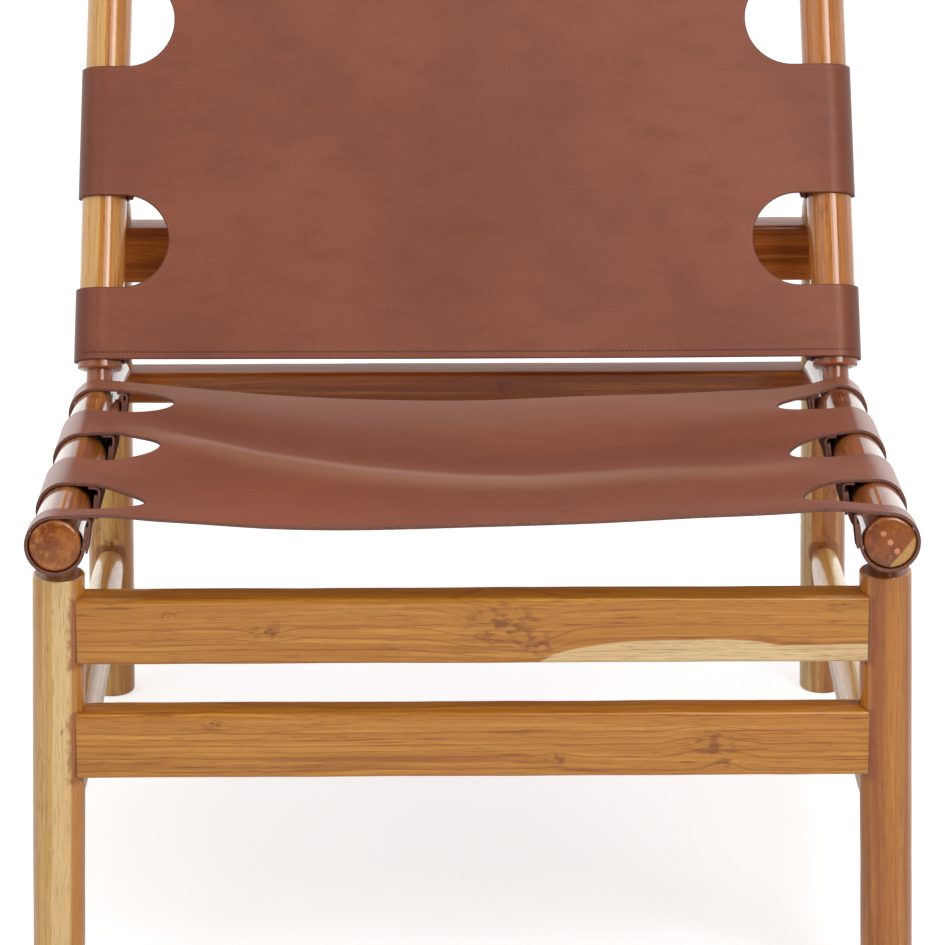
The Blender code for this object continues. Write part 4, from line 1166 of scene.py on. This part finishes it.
def hang_tabs(part, plan, crease, random):
    """One tab to each strap end, a little uneven along its free edge."""
    tabs = []
    for band, (low, high) in enumerate(bands(plan)):
        for label, side in SIDES:
            rows = max(6, round((high - low) / TORN_STEP))
            u = np.linspace(low, high, rows + 1)
            lines = strap_lines(plan, u)
            step, up_x, up_y = lines.step, math.cos(LOOP_LEAVE), -math.sin(LOOP_LEAVE)
            torn = np.convolve(random.uniform(-1, 1, rows + 5), (0.25, 0.5, 0.25), "same")[2:rows + 3]
            columns = []
            fold_x, fold_y = lines.fold
            for k in range(FALL_STEPS + 1):
                share = k / FALL_STEPS
                drop = -TAB_DROP + torn * TORN_DEPTH
                y = drop * (1 - share) + (fold_y - TAB_BEND) * share
                columns.append((lines.foot_x + up_x / up_y * (y + TAB_DROP), y))
            flat_x = fold_x + TAB_LAP
            flat_y = lines.sheet(flat_x) - step
            run = np.hypot(flat_x - fold_x, flat_y - fold_y)
            for k in range(1, FOLD_STEPS + 1):
                t = k / FOLD_STEPS
                start_x, start_y = fold_x - up_x * TAB_BEND, fold_y - up_y * TAB_BEND
                end_x = fold_x + (flat_x - fold_x) / run * TAB_BEND
                end_y = fold_y + (flat_y - fold_y) / run * TAB_BEND
                columns.append((start_x * (1 - t) ** 2 + fold_x * 2 * t * (1 - t) + end_x * t ** 2,
                                start_y * (1 - t) ** 2 + fold_y * 2 * t * (1 - t) + end_y * t ** 2))
            for k in range(1, LAP_STEPS + 1):
                share = k / LAP_STEPS
                columns.append((end_x * (1 - share) + flat_x * share,
                                end_y * (1 - share) + flat_y * share))
            points = []
            for x, y in columns:
                follow = np.clip((y + TAB_DROP) / (fold_y + TAB_DROP), 0, 1)
                points.extend(to_world(plan, u, side * x, y + follow * crease(u, side * x)[0]))
            node = f"{part}_tab_{band + 1}_{label}"
            tab = lay_leather(node + "_finished", points, grid_faces(0, len(columns), rows),
                              tab_leather, TAB_THICKNESS)
            bpy.ops.object.shade_smooth_by_angle(angle=SMOOTH_ANGLE)
            tabs.append(keep_as(tab, node))
    return tabs


seat_tabs = hang_tabs("seat", seat_plan, seat_crease, np.random.default_rng(11))
keep_as(seat, "seat_sling")


# Back: one hide slotted into three straps a side, looped round the posts. The
# middle straps have a round hole for the rear leg's neck.
BACK_START = 0.0145
BACK_END_STRAP = 0.0615
BACK_MIDDLE_STRAP = 0.111
BACK_TOP_SHOWN = 0.029
BACK_SAG = 0.006
BRACE_SLOT_MARGIN = 0.0025
BACK_SLOT_SHIFT = -0.0055
BACK_UNEVEN = 0.0006

back_length = POST_LENGTH - BACK_START - BACK_TOP_SHOWN
back_straps = (BACK_END_STRAP, BACK_MIDDLE_STRAP, BACK_END_STRAP)
back_base = (post_base(-1) + post_base(1)) / 2
back_along = ((post_top(-1) + post_top(1)) / 2 - back_base).normalized()


def back_spacing(u):
    share = (BACK_START + u) / POST_LENGTH
    return (SIDE_SPACING + (POST_TOP_SPACING - SIDE_SPACING) * share) / 2


back_plan = SimpleNamespace(
    origin=back_base + back_along * BACK_START, along=back_along,
    normal=Vector((1, 0, 0)).cross(back_along), stick_radius=POST_RADIUS, length=back_length,
    half_spacing=back_spacing, sag=lambda u: np.full_like(u, BACK_SAG), straps=back_straps,
    cut=(back_length - sum(back_straps)) / (len(back_straps) - 1), from_hem=lambda u: u,
    slot_shift=lambda u: np.full_like(u, BACK_SLOT_SHIFT))


def back_crease(u, x):
    """The back lies smooth, with the faintest unevenness."""
    return BACK_UNEVEN * np.sin(9 * x + 14 * u) * np.cos(21 * x - 6 * u), np.zeros_like(u)


# The back's straps are painted darker as shade on their outer bends.
back_leather = saddle_leather("back_leather", tone=(0.88, 0.86, 0.83), hem=0.0058, hem_share=1.0,
                              bent=0.8, polish=0.08, roughness=0.46)
back = cut_hide("back_hide", back_plan, back_leather, back_crease)
for label, side in SIDES:
    foot, joint = rear_leg_line(side)
    up = (joint - foot).normalized()
    bpy.ops.mesh.primitive_cylinder_add(
        vertices=48, radius=NECK_RADIUS + BRACE_SLOT_MARGIN, depth=BRACE_TAPER_HIGH,
        location=joint - up * (BRACE_TAPER_HIGH / 2), rotation=up.to_track_quat("Z", "Y").to_euler())
    punch = bpy.context.object
    bpy.context.view_layer.objects.active = back
    hole = back.modifiers.new("brace_hole", "BOOLEAN")
    hole.object = punch
    bpy.ops.object.modifier_apply(modifier=hole.name)
    bpy.data.objects.remove(punch, do_unlink=True)
back_tabs = hang_tabs("back", back_plan, back_crease, np.random.default_rng(12))
back_flat, back_area = flat_size(back_plan)
keep_as(back, "back_sling")
